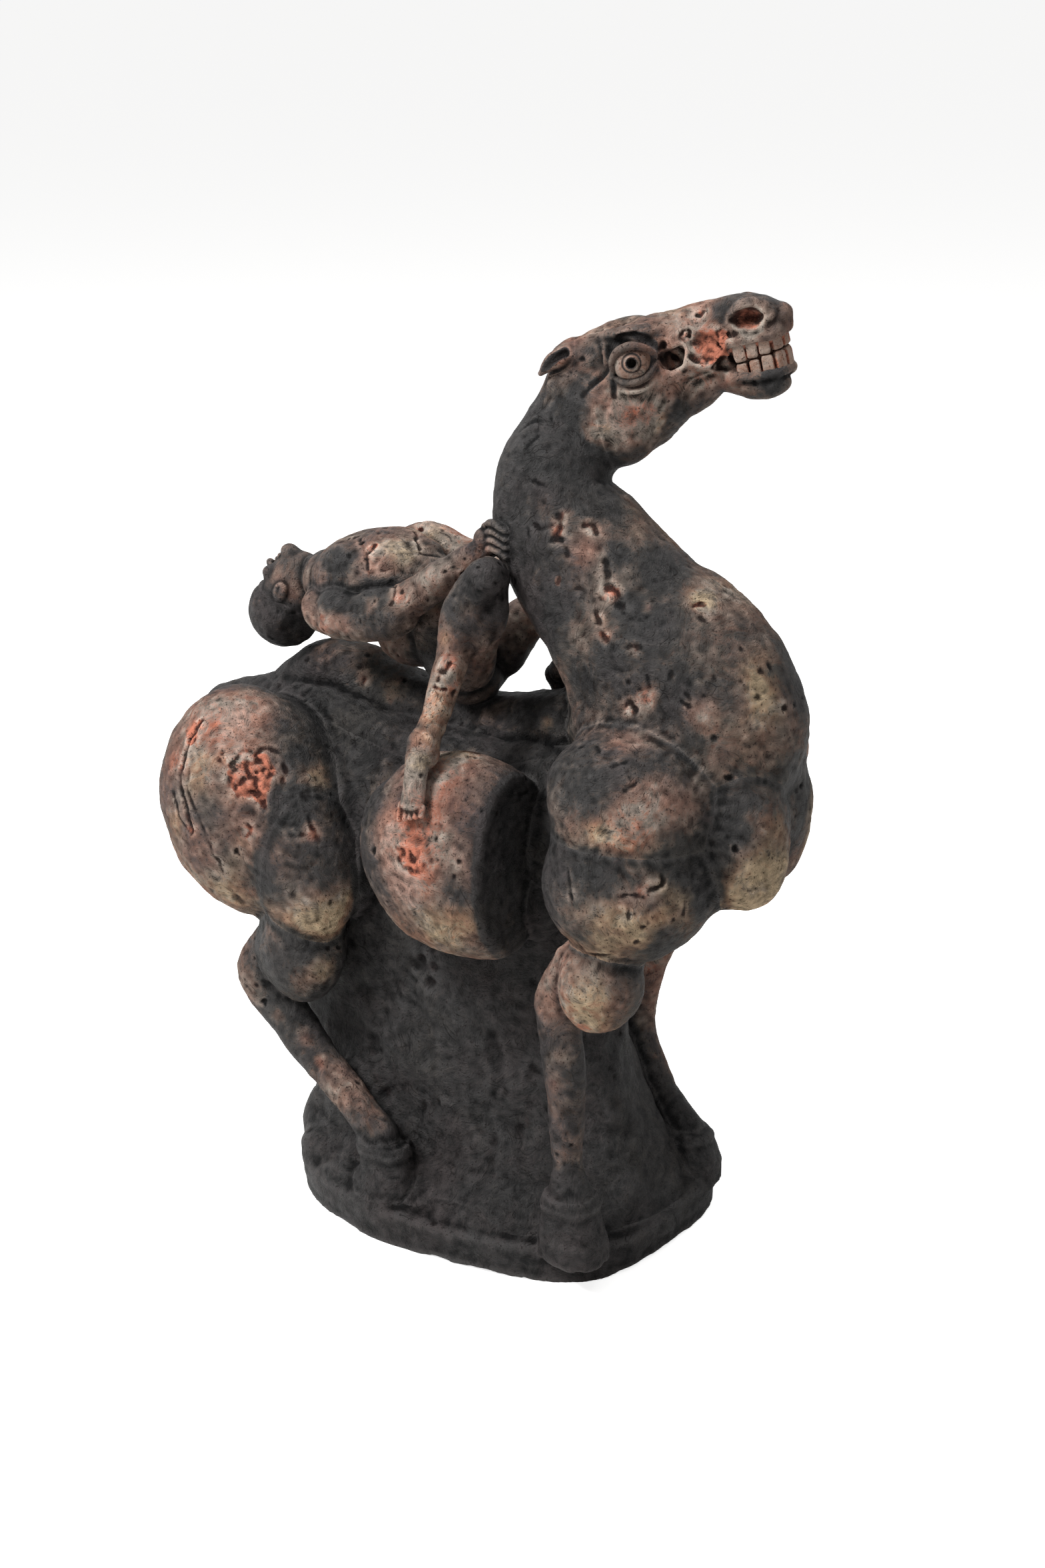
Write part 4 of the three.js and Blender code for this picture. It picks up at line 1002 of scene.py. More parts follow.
def normalsOf(places, quads):
    a, b, c, d = (places[quads[:, k]] for k in range(4))
    facing = np.cross(c - a, d - b)
    total = np.zeros_like(places)
    for k in range(4):
        for axis in range(3):
            total[:, axis] += np.bincount(quads[:, k], facing[:, axis], len(places))
    return unit(total)


def ringMean(values, quads, count):
    return np.bincount(quads.ravel(), np.repeat(values[quads].mean(1), 4), len(values)) / count


# How far the clay lies below its own smoothed form, in millimetres, less the same measure spread
# wider, so that only dents and ridges count and not the roundness of the whole piece
def hollowness(places, quads, normals, rounds):
    count = np.bincount(quads.ravel(), minlength=len(places))
    smooth = places
    for _ in range(rounds):
        smooth = np.stack([ringMean(smooth[:, k], quads, count) for k in range(3)], 1)
    below = ((smooth - places) * normals).sum(1)
    wider = below
    for _ in range(2 * rounds):
        wider = ringMean(wider, quads, count)
    return below - 0.85 * wider


# Flashes of colour from the fire: place, size and strength. Those of the near side are mirrored,
# a little larger, and those of the head stand in its own frame on both sides.
flashes = []


def flash(kind, place, size, strength):
    flashes.append(dict(kind=kind, place=np.array(place, float), size=size, strength=strength))


bodyFlashes = dict(
    raw=[
        (-108, -86, 275, 22, 0.85), (-162, -86, 290, 8, 0.7), (-171, -93, 272, 9, 0.7), (-149, -104, 238, 7, 0.7),
        (-76, -84, 242, 7, 0.8), (-112, -97, 241, 5, 0.7), (-84, -85, 146, 13, 0.8), (11, -103, 265, 24, 1.05),
        (22, -104, 238, 15, 0.8), (43, -88, 269, 8, 0.8), (48, -89, 248, 8, 0.7), (30, -92, 206, 5, 0.8),
        (146, -94, 293, 21, 0.75), (154, -95, 259, 8, 0.9), (192, -42, 290, 9, 0.6), (115, -92, 170, 7, 0.7),
        (77, 44, 148, 8, 0.6), (-113, -76, 116, 7, 0.9), (-92, -75, 106, 9, 0.8), (-80, -79, 94, 6, 0.8),
        (126, -51, 349, 7, 0.8), (116, -52, 342, 7, 0.8), (162, -43, 343, 10, 0.6), (93, -85, 129, 7, 0.6),
        (60, -34, 431, 5, 1.0), (63, -29, 439, 6, 0.8), (77, -26, 432, 5, 0.9), (97, -39, 401, 7, 1.0),
        (94, -45, 388, 4, 0.9), (99, -47, 379, 5, 0.9), (119, -36, 395, 5, 0.8), (129, -50, 352, 8, 0.8),
        (117, -46, 376, 5, 0.7), (143, -21, 396, 4, 0.8), (90, 9, 491, 10, 0.6), (81, 3, 487, 7, 0.6),
        (64, -6, 479, 8, 0.5), (35, -8, 493, 6, 0.6), (105, 29, 495, 6, 0.5), (113, 33, 508, 8, 0.5),
        (-72, -26, 401, 5, 0.9), (-52, 26, 396, 6, 0.6), (-91, -47, 361, 6, 0.7), (-20, -37, 393, 8, 0.9),
        (-39, -44, 380, 6, 0.9), (-57, -46, 374, 5, 0.7), (19, -42, 368, 7, 0.8), (9, -65, 355, 6, 0.9),
        (11, -64, 342, 5, 0.7), (-31, -18, 366, 7, 0.6), (45, -20, 356, 6, 0.6), (-92, -8, 314, 7, 0.7),
        (-146, -22, 373, 6, 0.5), (42, -15, 314, 4, 0.6)],
    rose=[
        (-131, -83, 295, 20, 0.6), (-112, -97, 241, 18, 0.5), (3, -106, 236, 18, 0.7), (-15, -99, 265, 16, 0.5),
        (161, -76, 302, 20, 0.6), (126, -68, 330, 14, 0.5), (151, -100, 248, 14, 0.5), (190, -47, 254, 10, 0.5),
        (158, -44, 346, 12, 0.5), (49, -30, 446, 14, 0.5), (78, -34, 419, 10, 0.7), (68, -4, 495, 12, 0.5),
        (-62, -31, 392, 8, 0.6), (-81, -48, 359, 10, 0.6), (-4, -32, 399, 8, 0.5), (6, -29, 410, 7, 0.6),
        (6, -75, 332, 7, 0.7), (8, -88, 314, 8, 0.8), (33, -22, 374, 10, 0.5), (-124, -10, 319, 14, 0.4),
        (-135, -21, 364, 8, 0.4)],
    ochre=[
        (-148, -98, 273, 14, 0.6), (-88, -61, 267, 16, 0.7), (-168, -99, 237, 10, 0.6), (-70, -84, 190, 20, 1.0),
        (-74, -77, 154, 10, 0.8), (24, -99, 216, 20, 0.8), (43, -90, 219, 14, 0.7), (13, -66, 301, 14, 0.5),
        (127, -100, 291, 10, 0.6), (145, -100, 231, 24, 0.9), (168, -82, 245, 14, 0.7), (198, -40, 266, 22, 0.9),
        (186, -39, 239, 14, 0.7), (122, -98, 187, 16, 0.8), (94, -83, 143, 10, 0.6), (183, -18, 351, 14, 0.7),
        (48, -39, 399, 10, 0.6), (141, -17, 399, 9, 0.8), (175, -18, 367, 16, 0.7), (101, 19, 421, 12, 0.5),
        (70, -2, 474, 13, 0.7), (138, 42, 507, 12, 0.6), (-62, -21, 402, 14, 0.9), (-54, 12, 399, 6, 0.7),
        (5, -63, 367, 6, 0.6), (18, -56, 382, 7, 0.5), (8, -94, 304, 7, 0.7), (-30, -17, 372, 8, 0.5),
        (-70, -7, 309, 12, 0.5), (-153, -22, 366, 6, 0.5), (43, -16, 312, 6, 0.6)],
    soot=[
        (-91, -84, 254, 16, 0.7), (-104, -92, 209, 18, 0.6), (-84, -86, 174, 12, 0.7), (48, -80, 270, 14, 0.6),
        (3, -106, 250, 9, 0.8), (36, -99, 239, 12, 0.7), (117, -97, 308, 20, 0.7), (161, -49, 273, 18, 0.8),
        (126, -102, 267, 18, 0.7), (172, -64, 248, 10, 0.6), (182, -49, 289, 16, 0.7), (135, -86, 206, 12, 0.6),
        (117, -16, 410, 18, 0.8), (107, -39, 396, 9, 0.7), (63, -43, 388, 14, 0.7), (94, -27, 419, 9, 0.7),
        (180, -13, 362, 8, 0.7), (124, -39, 388, 14, 0.7), (102, -49, 369, 12, 0.6), (84, -47, 352, 12, 0.6),
        (63, -9, 463, 12, 0.7), (52, -13, 479, 10, 0.7), (83, 9, 470, 10, 0.5), (36, -24, 467, 12, 0.6),
        (129, 39, 511, 8, 0.6), (-89, -34, 392, 12, 0.9), (-88, -42, 372, 12, 0.8), (-61, -33, 380, 10, 0.6),
        (27, -53, 399, 12, 0.9)],
)
headFlashes = dict(
    raw=[
        (82, 19, -4, 10, 1.6), (106, 9, 3, 11, 2.0), (62, 16, -13, 6, 1.2), (86, 13, -15, 7, 1.3),
        (93, 15, -10, 6, 0.8), (0, 17, 5, 5, 0.8), (104, 6, -19, 12, 1.0), (80, 12, 12, 6, 0.5),
        (70, 17, -24, 8, 0.6), (40, 24, -33, 14, 0.9), (24, 24, -46, 15, 0.8), (10, 24, -30, 12, 0.5),
        (90, 16, -27, 8, 0.6), (33, 24, -20, 5, 0.5)],
    rose=[
        (55, 22, -22, 12, 0.8), (30, 24, -38, 16, 0.7), (84, 8, 14, 12, 0.4)],
    ochre=[
        (46, 23, -40, 12, 0.5), (66, 10, 15, 14, 0.5), (44, 8, 19, 14, 0.4), (104, 16, -4, 5, 0.6)],
    soot=[
        (104, 15, -28, 12, 0.8), (116, 10, -30, 10, 0.6), (36, 20, 10, 12, 0.5), (52, 18, 10, 10, 0.4),
        (20, 18, 6, 12, 0.5), (112, 12, -34, 13, 0.9), (100, 12, 12, 13, 0.7), (10, 20, -20, 14, 0.7),
        (14, 20, -50, 12, 0.6), (60, 18, -36, 9, 0.6), (88, 12, 10, 9, 0.5), (116, 8, -5, 6, 0.5)],
)

for kind, rows in bodyFlashes.items():
    for x, y, z, size, strength in rows:
        flash(kind, (x, y, z), size, strength)
        if y < -20:
            flash(kind, (x, -y, z), size * 1.1, strength)
for kind, rows in headFlashes.items():
    for forward, out, up, size, strength in rows:
        for side in (right, left):
            flash(kind, headPoint(forward, side * out, up), size, strength)


# How the nodes near each point came out of the fire, and how much soot and painted shade their creases take, each
# weighed by how close it lies, so that no colour stops at a joint. Also how far the point is from the nearest of its
# neighbours.
toneKinds = ("soot", "rose", "ochre", "raw", "lobe", "crease")
toneReach = 7.0


def nearbyTones(points, own):
    weights = np.zeros(len(points), np.float32)
    totals = {kind: np.zeros(len(points), np.float32) for kind in toneKinds}
    mine = other = np.full(len(points), farAway, np.float32)
    low, high = points.min(0) - reachPad, points.max(0) + reachPad
    for n in nodes:
        if isApart(n, low, high):
            continue
        distance = nodeField(n, points)
        weight = np.exp(-np.clip(distance, -4, 60) / toneReach)
        weights += weight
        for kind in toneKinds:
            totals[kind] += weight * n[kind]
        if n is own:
            mine = distance
        else:
            other = np.minimum(other, distance)
    return {kind: total / weights for kind, total in totals.items()}, other - mine


# What the fire left at each point, as numbers from 0 to 1 for soot, rose, ochre and raw orange clay, with painted shade
# and painted light mixed in. Soot lies in hollows and on top of a lobe, and in creases between nodes, where it is
# partly painted shade. Rose lies where a lobe faces outward, and ochre underneath, where the paler underside is partly
# painted light bounced up from the floor. The flank's flat front face and the carved grooves are blackened as painted
# shade.
# Worn says where raised clay was rubbed pale, and mark where a pit or a cut is and where a carved groove holds painted
# shade.
def firing(n, points, normals, quads):
    tones, apart = nearbyTones(points, n)
    rounds = int(np.clip(round(14 / n["step"] ** 1.5), 6, 26))
    hollow = hollowness(points, quads, normals, rounds)
    broad, fine, second = cloud(points, 52.0, 0), cloud(points, 17.0, 1), cloud(points, 46.0, 2)
    # Painted shade: where this node meets a neighbour the crease takes extra soot, partly real soot and partly the
    # shade that falls between the lobes.
    crease = smoothStep(6.5, 0.0, apart + 3 * fine) * tones["crease"]
    middle, half = (n["low"] + n["high"]) / 2, (n["high"] - n["low"]) / 2
    up = (points[:, 2] - middle[2]) / half[2]
    # Underneath a lobe the clay is paler ochre with less soot: partly its fired colour and partly painted light bounced
    # up from the floor.
    under = np.clip(-up, 0, 1) * tones["lobe"]
    outward = np.clip(-normals[:, 1] * np.sign(-middle[1] + 1e-3), 0, 1) * tones["lobe"]
    soot = 0.5 + tones["soot"] + 0.72 * broad + 0.12 * fine + 0.4 * crease + tones["lobe"] * 0.1 * up - 0.2 * under
    rose = 0.34 + tones["rose"] + 0.45 * second + 0.15 * fine + 0.25 * outward - 0.2 * tones["lobe"] - 0.2 * under
    ochre = 0.16 + tones["ochre"] - 0.4 * second - 0.15 * fine + 0.5 * under
    raw = 0.12 + tones["raw"] + 0.3 * fine - 0.35 * broad
    # Painted shade: the flank's flat front face, turned away from the key light, is blackened with soot.
    if "flank" in n["name"]:
        soot += 0.7 * smoothStep(flankFront - 5, flankFront - 1, points[:, 0])
    soot += 0.7 * smoothStep(82, 48, points[:, 2] + 12 * fine)
    masks = dict(soot=soot, rose=rose, ochre=ochre, raw=raw)
    for f in flashes:
        distance = np.linalg.norm(points - f["place"], axis=1) / f["size"]
        if not (distance < 1.4).any():
            continue
        weight = f["strength"] * smoothStep(1.4, 0.1, distance + 0.35 * fine) * 0.62
        for kind in masks:
            share = 1.0 if kind == f["kind"] else -0.9 if kind == "soot" else -0.3
            masks[kind] = masks[kind] + share * weight
    # Painted shade: clay in and beside the carved grooves (round the eye lids, at the eye corner and in the ear) is
    # blackened as the shade that falls in them.
    grooveShade = np.zeros(len(points), np.float32)
    for shape in n["shapes"]:
        if shape["carve"] and shape["kind"] == "roll":
            grooveShade = np.maximum(grooveShade, smoothStep(1.4, 0.0, fieldOf(shape, points)))
    masks["soot"] = masks["soot"] + 0.9 * grooveShade
    flaked, cutDepth = flakeShare(points), strokeDepth(points)
    pits = pitDepth(points) * n["pitted"]
    masks["raw"] = (masks["raw"] + flaked * 0.55 + np.clip(cutDepth, 0, 1.6) * 0.5 * (1 - 0.7 * crease)
                    - tones["soot"] * 0.5)
    masks["soot"] = (masks["soot"] - flaked * 0.8 - 0.1 * np.clip(cutDepth, 0, 1.5)
                     + 0.1 * np.clip(hollow / 0.4, -1, 1.4))
    masks["mark"] = np.clip(pits * 1.1 + cutDepth * 0.26 + 0.5 * np.clip(hollow - 0.5, 0, 1) + 1.3 * grooveShade, 0, 2)
    masks["worn"] = 0.5 - 0.5 * np.clip(hollow / (0.35 * max(n["ragged"], 1)), -1, 1)
    return {kind: np.clip(values, -1, 2) for kind, values in masks.items()}


# One piece of the scene, with a number for each mask at each of its points
def addPiece(name, mesh, masks):
    for kind, values in masks.items():
        layer = mesh.attributes.new(kind, "FLOAT", "POINT")
        layer.data.foreach_set("value", np.full(len(mesh.vertices), values, np.float32))
    piece = bpy.data.objects.new(name, mesh)
    bpy.context.scene.collection.objects.link(piece)
    return piece


def quadMesh(name, places, quads):
    mesh = bpy.data.meshes.new(name)
    mesh.vertices.add(len(places))
    mesh.vertices.foreach_set("co", (places / 1000).ravel())
    mesh.loops.add(quads.size)
    mesh.loops.foreach_set("vertex_index", quads.astype(np.int32).ravel())
    mesh.polygons.add(len(quads))
    mesh.polygons.foreach_set("loop_start", np.arange(0, quads.size, 4, dtype=np.int32))
    mesh.polygons.foreach_set("loop_total", np.full(len(quads), 4, np.int32))
    mesh.polygons.foreach_set("use_smooth", np.full(len(quads), True))
    mesh.update(calc_edges=True)
    mesh.validate()
    return mesh


# Colours are sRGB hex, turned to linear here
def linear(hexColour):
    channels = [int(hexColour[k:k + 2], 16) / 255 for k in (1, 3, 5)]
    return (*[c / 12.92 if c <= 0.04045 else ((c + 0.055) / 1.055) ** 2.4 for c in channels], 1.0)


# One node, its settings, and what feeds its inputs: i0 is the first of them, and others go by name
def addNode(tree, kind, settings=None, **inputs):
    made = tree.nodes.new("ShaderNode" + kind)
    for key, value in (settings or {}).items():
        setattr(made, key, value)
    for key, value in inputs.items():
        socket = made.inputs[int(key[1:]) if key[0] == "i" else key.replace("_", " ")]
        if isinstance(value, bpy.types.NodeSocket):
            tree.links.new(value, socket)
        else:
            socket.default_value = value
    return made


clayTones = dict(body=("#28231f", "#a1958a"), rose=("#3f2b26", "#a98577"), ochre=("#40362a", "#b39d7d"),
                 raw=("#3a1d17", "#aa6149"), soot=("#050607", "#2c2d2f"), rust=("#38201a", "#8c5b46"))
# Waves of the clay's grain in mm, and by how much a stroke is thinner than it is long
clayGrain = dict(push=45.0, patch=24.0, torn=11.0, mottle=2.6, grit=0.9, streak=5.0, streakThin=7.0, turn=34.0,
                 crack=12.0, crackPatch=15.0, hole=1.5, pore=5.4)
# How far each colour's edge fades, and how much of the clay it covers at most
cover = dict(rose=(0.42, 0.85), ochre=(0.42, 0.85), raw=(0.34, 0.88), soot=(0.5, 0.95))
hollowTone, grogTone = "#15100f", "#a08a7a"


# Smoke-fired terracotta: matt unglazed clay, blackened by the smoke, with rose, ochre and orange
# flashes whose edges break up over a few millimetres. Raised clay is rubbed pale along the strokes of
# the tool, and cracks, pits and hollows hold soot. Burnished soot has a faint sheen.
def smokeFiredTerracotta(name, tones=clayTones, fleck=1.0):
    material = bpy.data.materials.new(name)
    material.use_nodes = True
    tree = material.node_tree
    tree.nodes.clear()
    coords = addNode(tree, "TexCoord").outputs["Object"]

    def noiseNode(wave, detail, rough, vector=coords):
        return addNode(tree, "TexNoise", Vector=vector, Scale=1000 / clayGrain[wave], Detail=detail, Roughness=rough)

    def noise(*settings):
        return noiseNode(*settings).outputs["Fac"]

    def maths(operation, a, b, c=0.0):
        return addNode(tree, "Math", dict(operation=operation), i0=a, i1=b, i2=c).outputs[0]

    def times(a, b):
        return maths("MULTIPLY", a, b)

    # Sum of values, each times its own weight
    def weighted(*parts):
        total = 0.0
        for value, weight in parts:
            total = maths("MULTIPLY_ADD", value, weight, total)
        return total

    def ramp(value, start, end, low=0.0, high=1.0, soft=False):
        kind = "SMOOTHSTEP" if soft else "LINEAR"
        return addNode(tree, "MapRange", dict(clamp=True, interpolation_type=kind), i0=value, i1=start, i2=end,
                       i3=low, i4=high).outputs[0]

    def blendOver(mask, under, over):
        return addNode(tree, "Mix", dict(data_type="RGBA"), i0=mask, i6=under, i7=over).outputs[2]

    def attribute(kind):
        return addNode(tree, "Attribute", dict(attribute_name=kind)).outputs["Fac"]

    def tone(kind):
        return blendOver(shade, linear(tones[kind][0]), linear(tones[kind][1]))

    # Coordinates pushed about by slow noise, so that strokes and cracks wander
    slow = noiseNode("push", 2.0, 0.6).outputs["Color"]
    push = addNode(tree, "VectorMath", dict(operation="SCALE"), i0=slow, i3=0.09).outputs[0]
    wandering = addNode(tree, "VectorMath", i0=coords, i1=push).outputs[0]

    def strokesAlong(squeeze):
        drawn = addNode(tree, "Mapping", Vector=wandering, Scale=squeeze).outputs[0]
        return noise("streak", 3.0, 0.6, drawn)

    coarse, mid = noise("patch", 9.0, 0.68), noise("mottle", 6.0, 0.68)
    torn, grain = noise("torn", 6.0, 0.72, wandering), noise("grit", 3.0, 0.6)
    thin = clayGrain["streakThin"]
    turn = ramp(noise("turn", 1.0, 0.6), 0.44, 0.56)
    streak = weighted((strokesAlong((1, 1, thin)), turn), (strokesAlong((thin, 1, 1.5)), maths("SUBTRACT", 1.0, turn)))
    cells = addNode(tree, "TexVoronoi", dict(feature="DISTANCE_TO_EDGE"), Vector=wandering,
                    Scale=1000 / clayGrain["crack"]).outputs[0]
    cracked = ramp(noise("crackPatch", 3.0, 0.6), 0.54, 0.62)
    cracks = times(ramp(weighted((cells, 1.0), (mid, 0.05)), 0.022, 0.06, 1.0, 0.0), cracked)
    pores = ramp(noise("pore", 3.0, 0.65, wandering), 0.7, 0.74)
    holes = maths("MAXIMUM", ramp(noise("hole", 2.0, 0.5), 0.63, 0.7), pores)

    pale = weighted((mid, 0.2), (torn, 0.35), (coarse, 0.3), (streak, 0.3), (attribute("worn"), 0.36))
    shade = ramp(pale, 0.6, 0.9)
    breaks = ((coarse, 1.15), (mid, 0.6 * fleck), (torn, 1.4 * fleck), (streak, 0.5 * fleck))
    broken = maths("SUBTRACT", weighted(*breaks), 0.5 * sum(weight for _, weight in breaks))
    colour = tone("body")
    for kind, (edge, most) in cover.items():
        taken = maths("ADD", attribute(kind), broken)
        if kind == "soot":
            colour = blendOver(ramp(grain, 0.62, 0.7, 0.0, 0.3), colour, linear(grogTone))
            half = ramp(taken, 0.1, 0.9)
            rim = times(times(half, maths("SUBTRACT", 1.0, half)), ramp(coarse, 0.35, 0.6, 0.3, 2.6))
            colour = blendOver(rim, colour, tone("rust"))
        mask = ramp(taken, 0.55 - edge, 0.55 + edge, 0.0, most, True)
        colour = blendOver(mask, colour, tone(kind))
    sheen = ramp(weighted((mask, 1.0), (mid, 0.4)), 0.5, 1.2, 0.84, 0.46)
    # Pits, cuts and deep hollows darken toward the hollow tone, and carved grooves too, where the dark is painted
    # shade.
    colour = blendOver(ramp(attribute("mark"), 0.2, 1.6, 0.0, 0.75), colour, linear(hollowTone))
    colour = blendOver(times(maths("MAXIMUM", holes, times(cracks, 0.6)), 0.7), colour, linear(hollowTone))
    height = weighted((grain, 0.35), (torn, 1.6), (mid, 1.1), (streak, 0.45), (holes, -0.35), (cracks, -0.5))
    bump = addNode(tree, "Bump", Strength=1.0, Distance=0.0016, Height=height).outputs[0]
    shader = addNode(tree, "BsdfPrincipled", Base_Color=colour, Roughness=sheen, Normal=bump, IOR=1.45,
                     Specular_IOR_Level=0.12)
    addNode(tree, "OutputMaterial", Surface=shader.outputs[0]).is_active_output = True
    return material


firedClay = smokeFiredTerracotta("smoke-fired terracotta")


def finishPiece(piece, nodeName, material=firedClay):
    piece.data.materials.append(material)
    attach(piece, "root")
    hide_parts(nodeName)


def nodeWork(n):
    return -float(np.prod(n["high"] - n["low"])) / n["step"] ** 3


def formNode(n):
    places, quads = pressNode(n)
    return places, quads, firing(n, places, normalsOf(places, quads), quads)


# The skin pieces, one for each clay node, the largest first so that the four hands finish together
def buildSkin():
    order = sorted(nodes, key=nodeWork)
    with ThreadPoolExecutor(4) as hands:
        formed = list(hands.map(formNode, order))
    report("skin worked out")
    for n, (places, quads, masks) in zip(order, formed):
        name = "clay_" + n["name"]
        finishPiece(addPiece(name, quadMesh(name, places, quads), masks), n["name"])
        print(f"{n['name']}: {len(quads)} quads")
    report("skin pieces")


# Rings of points joined into a closed surface, each end closed on one point
def ringsToSurface(rings):
    rows, around = rings.shape[:2]
    r, c = np.meshgrid(np.arange(rows - 1), np.arange(around), indexing="ij")
    onward = (c + 1) % around
    quads = np.stack([r * around + c, r * around + onward, (r + 1) * around + onward, (r + 1) * around + c], -1)
    k, tip = np.arange(around), rows * around
    onward, last = (k + 1) % around, (rows - 1) * around
    start = np.stack([np.full(around, tip), onward, k], 1)
    end = np.stack([np.full(around, tip + 1), last + k, last + onward], 1)
    places = np.vstack([rings.reshape(-1, 3), rings[0].mean(0), rings[-1].mean(0)])
    return places, quads.reshape(-1, 4).tolist() + start.tolist() + end.tolist()


# Soft noise at each point of some rings, in their own layout
def ringNoise(rings, wave, seed):
    return softNoise(rings.reshape(-1, 3), wave, seed).reshape(*rings.shape[:2], 1)


# Several closed surfaces in one mesh
def joinedMesh(name, surfaces):
    places, faces, before = [], [], 0
    for points, quads in surfaces:
        places.append(points)
        faces += [[k + before for k in face] for face in quads]
        before += len(points)
    mesh = bpy.data.meshes.new(name)
    mesh.from_pydata((np.vstack(places) / 1000).tolist(), [], faces)
    mesh.validate()
    mesh.shade_smooth()
    return mesh


# Eyeball: a profile turned about the axis that looks outward, with a drilled pupil, an iris ring
# and a groove round it. Each profile point is its distance from the axis and its height along it.
eye = dict(forward=39.6, out=20.6, up=-4.6, ball=11.0, pupil=2.5, pupilDeep=4.5, iris=5.0, groove=0.55,
           look=(0.10, 1.0, 0.05), around=64)


def eyeballSurface(side):
    radius, pupil, iris = eye["ball"], eye["pupil"], eye["iris"]
    reach = np.concatenate([np.linspace(0.3, pupil, 8), np.linspace(pupil + 0.15, iris, 14),
                            np.linspace(iris + 0.2, radius * 0.995, 20)])
    height = np.sqrt(np.maximum(radius**2 - reach**2, 0))
    height -= eye["groove"] * np.exp(-((reach - iris) / 0.45) ** 2)
    height += 0.35 * np.exp(-((reach - pupil - 0.9) / 0.5) ** 2)
    height[reach <= pupil] = math.sqrt(radius**2 - pupil**2) - eye["pupilDeep"]
    back = np.linspace(0.1, math.pi / 2, 12)[1:]
    reach = np.concatenate([reach, radius * np.cos(back)])
    height = np.concatenate([height, -radius * np.sin(back)])
    look = unit(np.array(eye["look"]) * (1, side, 1))
    across = unit(np.cross(look, (0, 0, 1)))
    over = np.cross(across, look)
    angle = np.linspace(0, 2 * math.pi, eye["around"], endpoint=False)
    ring = np.cos(angle)[:, None] * across + np.sin(angle)[:, None] * over
    local = height[:, None, None] * look + reach[:, None, None] * ring
    middle = np.array([eye["forward"], side * eye["out"], eye["up"]], float)
    rings = headPoll + (middle + local) @ headMatrix.T
    rings += 0.12 * ringNoise(rings, 3.0, 1) * look
    places, faces = ringsToSurface(rings[:, ::-1])
    spread = np.concatenate([np.repeat(reach, eye["around"]), [0, radius]])
    # Painted shade: the drilled pupil and the groove round the iris are darkened, and the top of the ball as the
    # painted shadow of the upper lid.
    paintedShade = np.exp(-((spread - iris) / 0.6) ** 2) + (spread < pupil + 0.8)
    paintedShade += 0.5 * smoothStep(1.0, 8.0, ((places - places.mean(0)) @ headMatrix)[:, 2]) * (spread > iris)
    return places, faces, paintedShade


def buildEyes():
    for word, side in sides:
        name = "eyeball_" + word
        places, faces, paintedShade = eyeballSurface(side)
        # The eyeball's soot and mark carry its painted shade and painted shadow.
        masks = dict(soot=0.26 + 0.6 * paintedShade, rose=0.42, ochre=0.2, raw=0.0, mark=1.2 * paintedShade, worn=0.7)
        finishPiece(addPiece(name, joinedMesh(name, [(places, faces)]), masks), name)


# Teeth: squared-off pillows side by side round the front of the mouth, rooted in a bar of gum
teeth = dict(arch=11.5, middle=110, back=90, pitch=7.0, wide=6.5, deep=5.0, square=0.38, bite=-18.9, biteRise=0.11,
             biteFrom=102, clench=0.45, upperTall=7.5, lowerTall=8.5, root=2.6, gum=2.6, seed=40)
quarterArch = teeth["arch"] * math.pi / 2


def alongRow(distance):
    angle = np.clip(distance, -quarterArch, quarterArch) / teeth["arch"]
    forward = teeth["middle"] + teeth["arch"] * np.cos(angle) - np.maximum(np.abs(distance) - quarterArch, 0)
    return forward, teeth["arch"] * np.sin(angle), angle


def signedPower(values, power):
    return np.sign(values) * np.abs(values) ** power


def toothSurface(distance, tall, direction, seed):
    rng = np.random.default_rng(seed)
    forward, out, angle = alongRow(distance)
    rise = teeth["biteRise"] * (forward - teeth["biteFrom"])
    v = np.linspace(-math.pi / 2, math.pi / 2, 18)[1:-1][:, None]
    u = np.linspace(0, 2 * math.pi, 28, endpoint=False)[None]
    jitter = 1 + rng.uniform(-0.11, 0.09, 3)
    half = np.array([teeth["deep"], teeth["wide"], tall + teeth["root"] - direction * rise]) / 2 * jitter
    power = teeth["square"]
    x = half[0] * signedPower(np.cos(v), power) * signedPower(np.cos(u), power)
    y = half[1] * signedPower(np.cos(v), power) * signedPower(np.sin(u), power)
    z = half[2] * signedPower(np.sin(v), power) + 0 * u
    tilt = rng.uniform(-0.09, 0.09)
    y, z = y * math.cos(tilt) - z * math.sin(tilt), y * math.sin(tilt) + z * math.cos(tilt)
    z = z + direction * (half[2] + teeth["clench"]) + teeth["bite"] + rise
    c, s = math.cos(angle), math.sin(angle)
    local = np.stack([forward + c * x - s * y, out + s * x + c * y, z], -1)
    rings = headPoll + local @ headMatrix.T
    grooves = softNoise(rings.reshape(-1, 3) @ headMatrix / np.array([6, 6, 1.1]), 1.0, 2).reshape(*rings.shape[:2], 1)
    outward = unit(local - local.mean((0, 1))) @ headMatrix.T
    places, faces = ringsToSurface(rings + (0.16 * grooves + 0.12 * ringNoise(rings, 2.2, 0)) * outward)
    aside = np.abs(np.concatenate([(y / half[1]).ravel(), [0, 0]]))
    return places, faces, smoothStep(0.8, 1.02, aside)


def gumSurface(tall, direction):
    end = quarterArch + teeth["middle"] - teeth["back"] - 1
    forward, out, angle = alongRow(np.linspace(-end, end, 60))
    turn = np.linspace(0, 2 * math.pi, 14, endpoint=False)[None, :, None]
    ahead = np.stack([np.cos(angle), np.sin(angle), 0 * angle], 1)[:, None]
    height = teeth["bite"] + direction * (teeth["clench"] + tall + 0.6)
    middle = np.stack([forward, out, np.full_like(forward, height)], 1)[:, None]
    local = middle + teeth["gum"] * (np.cos(turn) * ahead * 0.9 + np.sin(turn) * np.array([0, 0, 1.0]))
    rings = headPoll + local @ headMatrix.T
    return ringsToSurface(rings + 0.3 * ringNoise(rings, 4, 3))


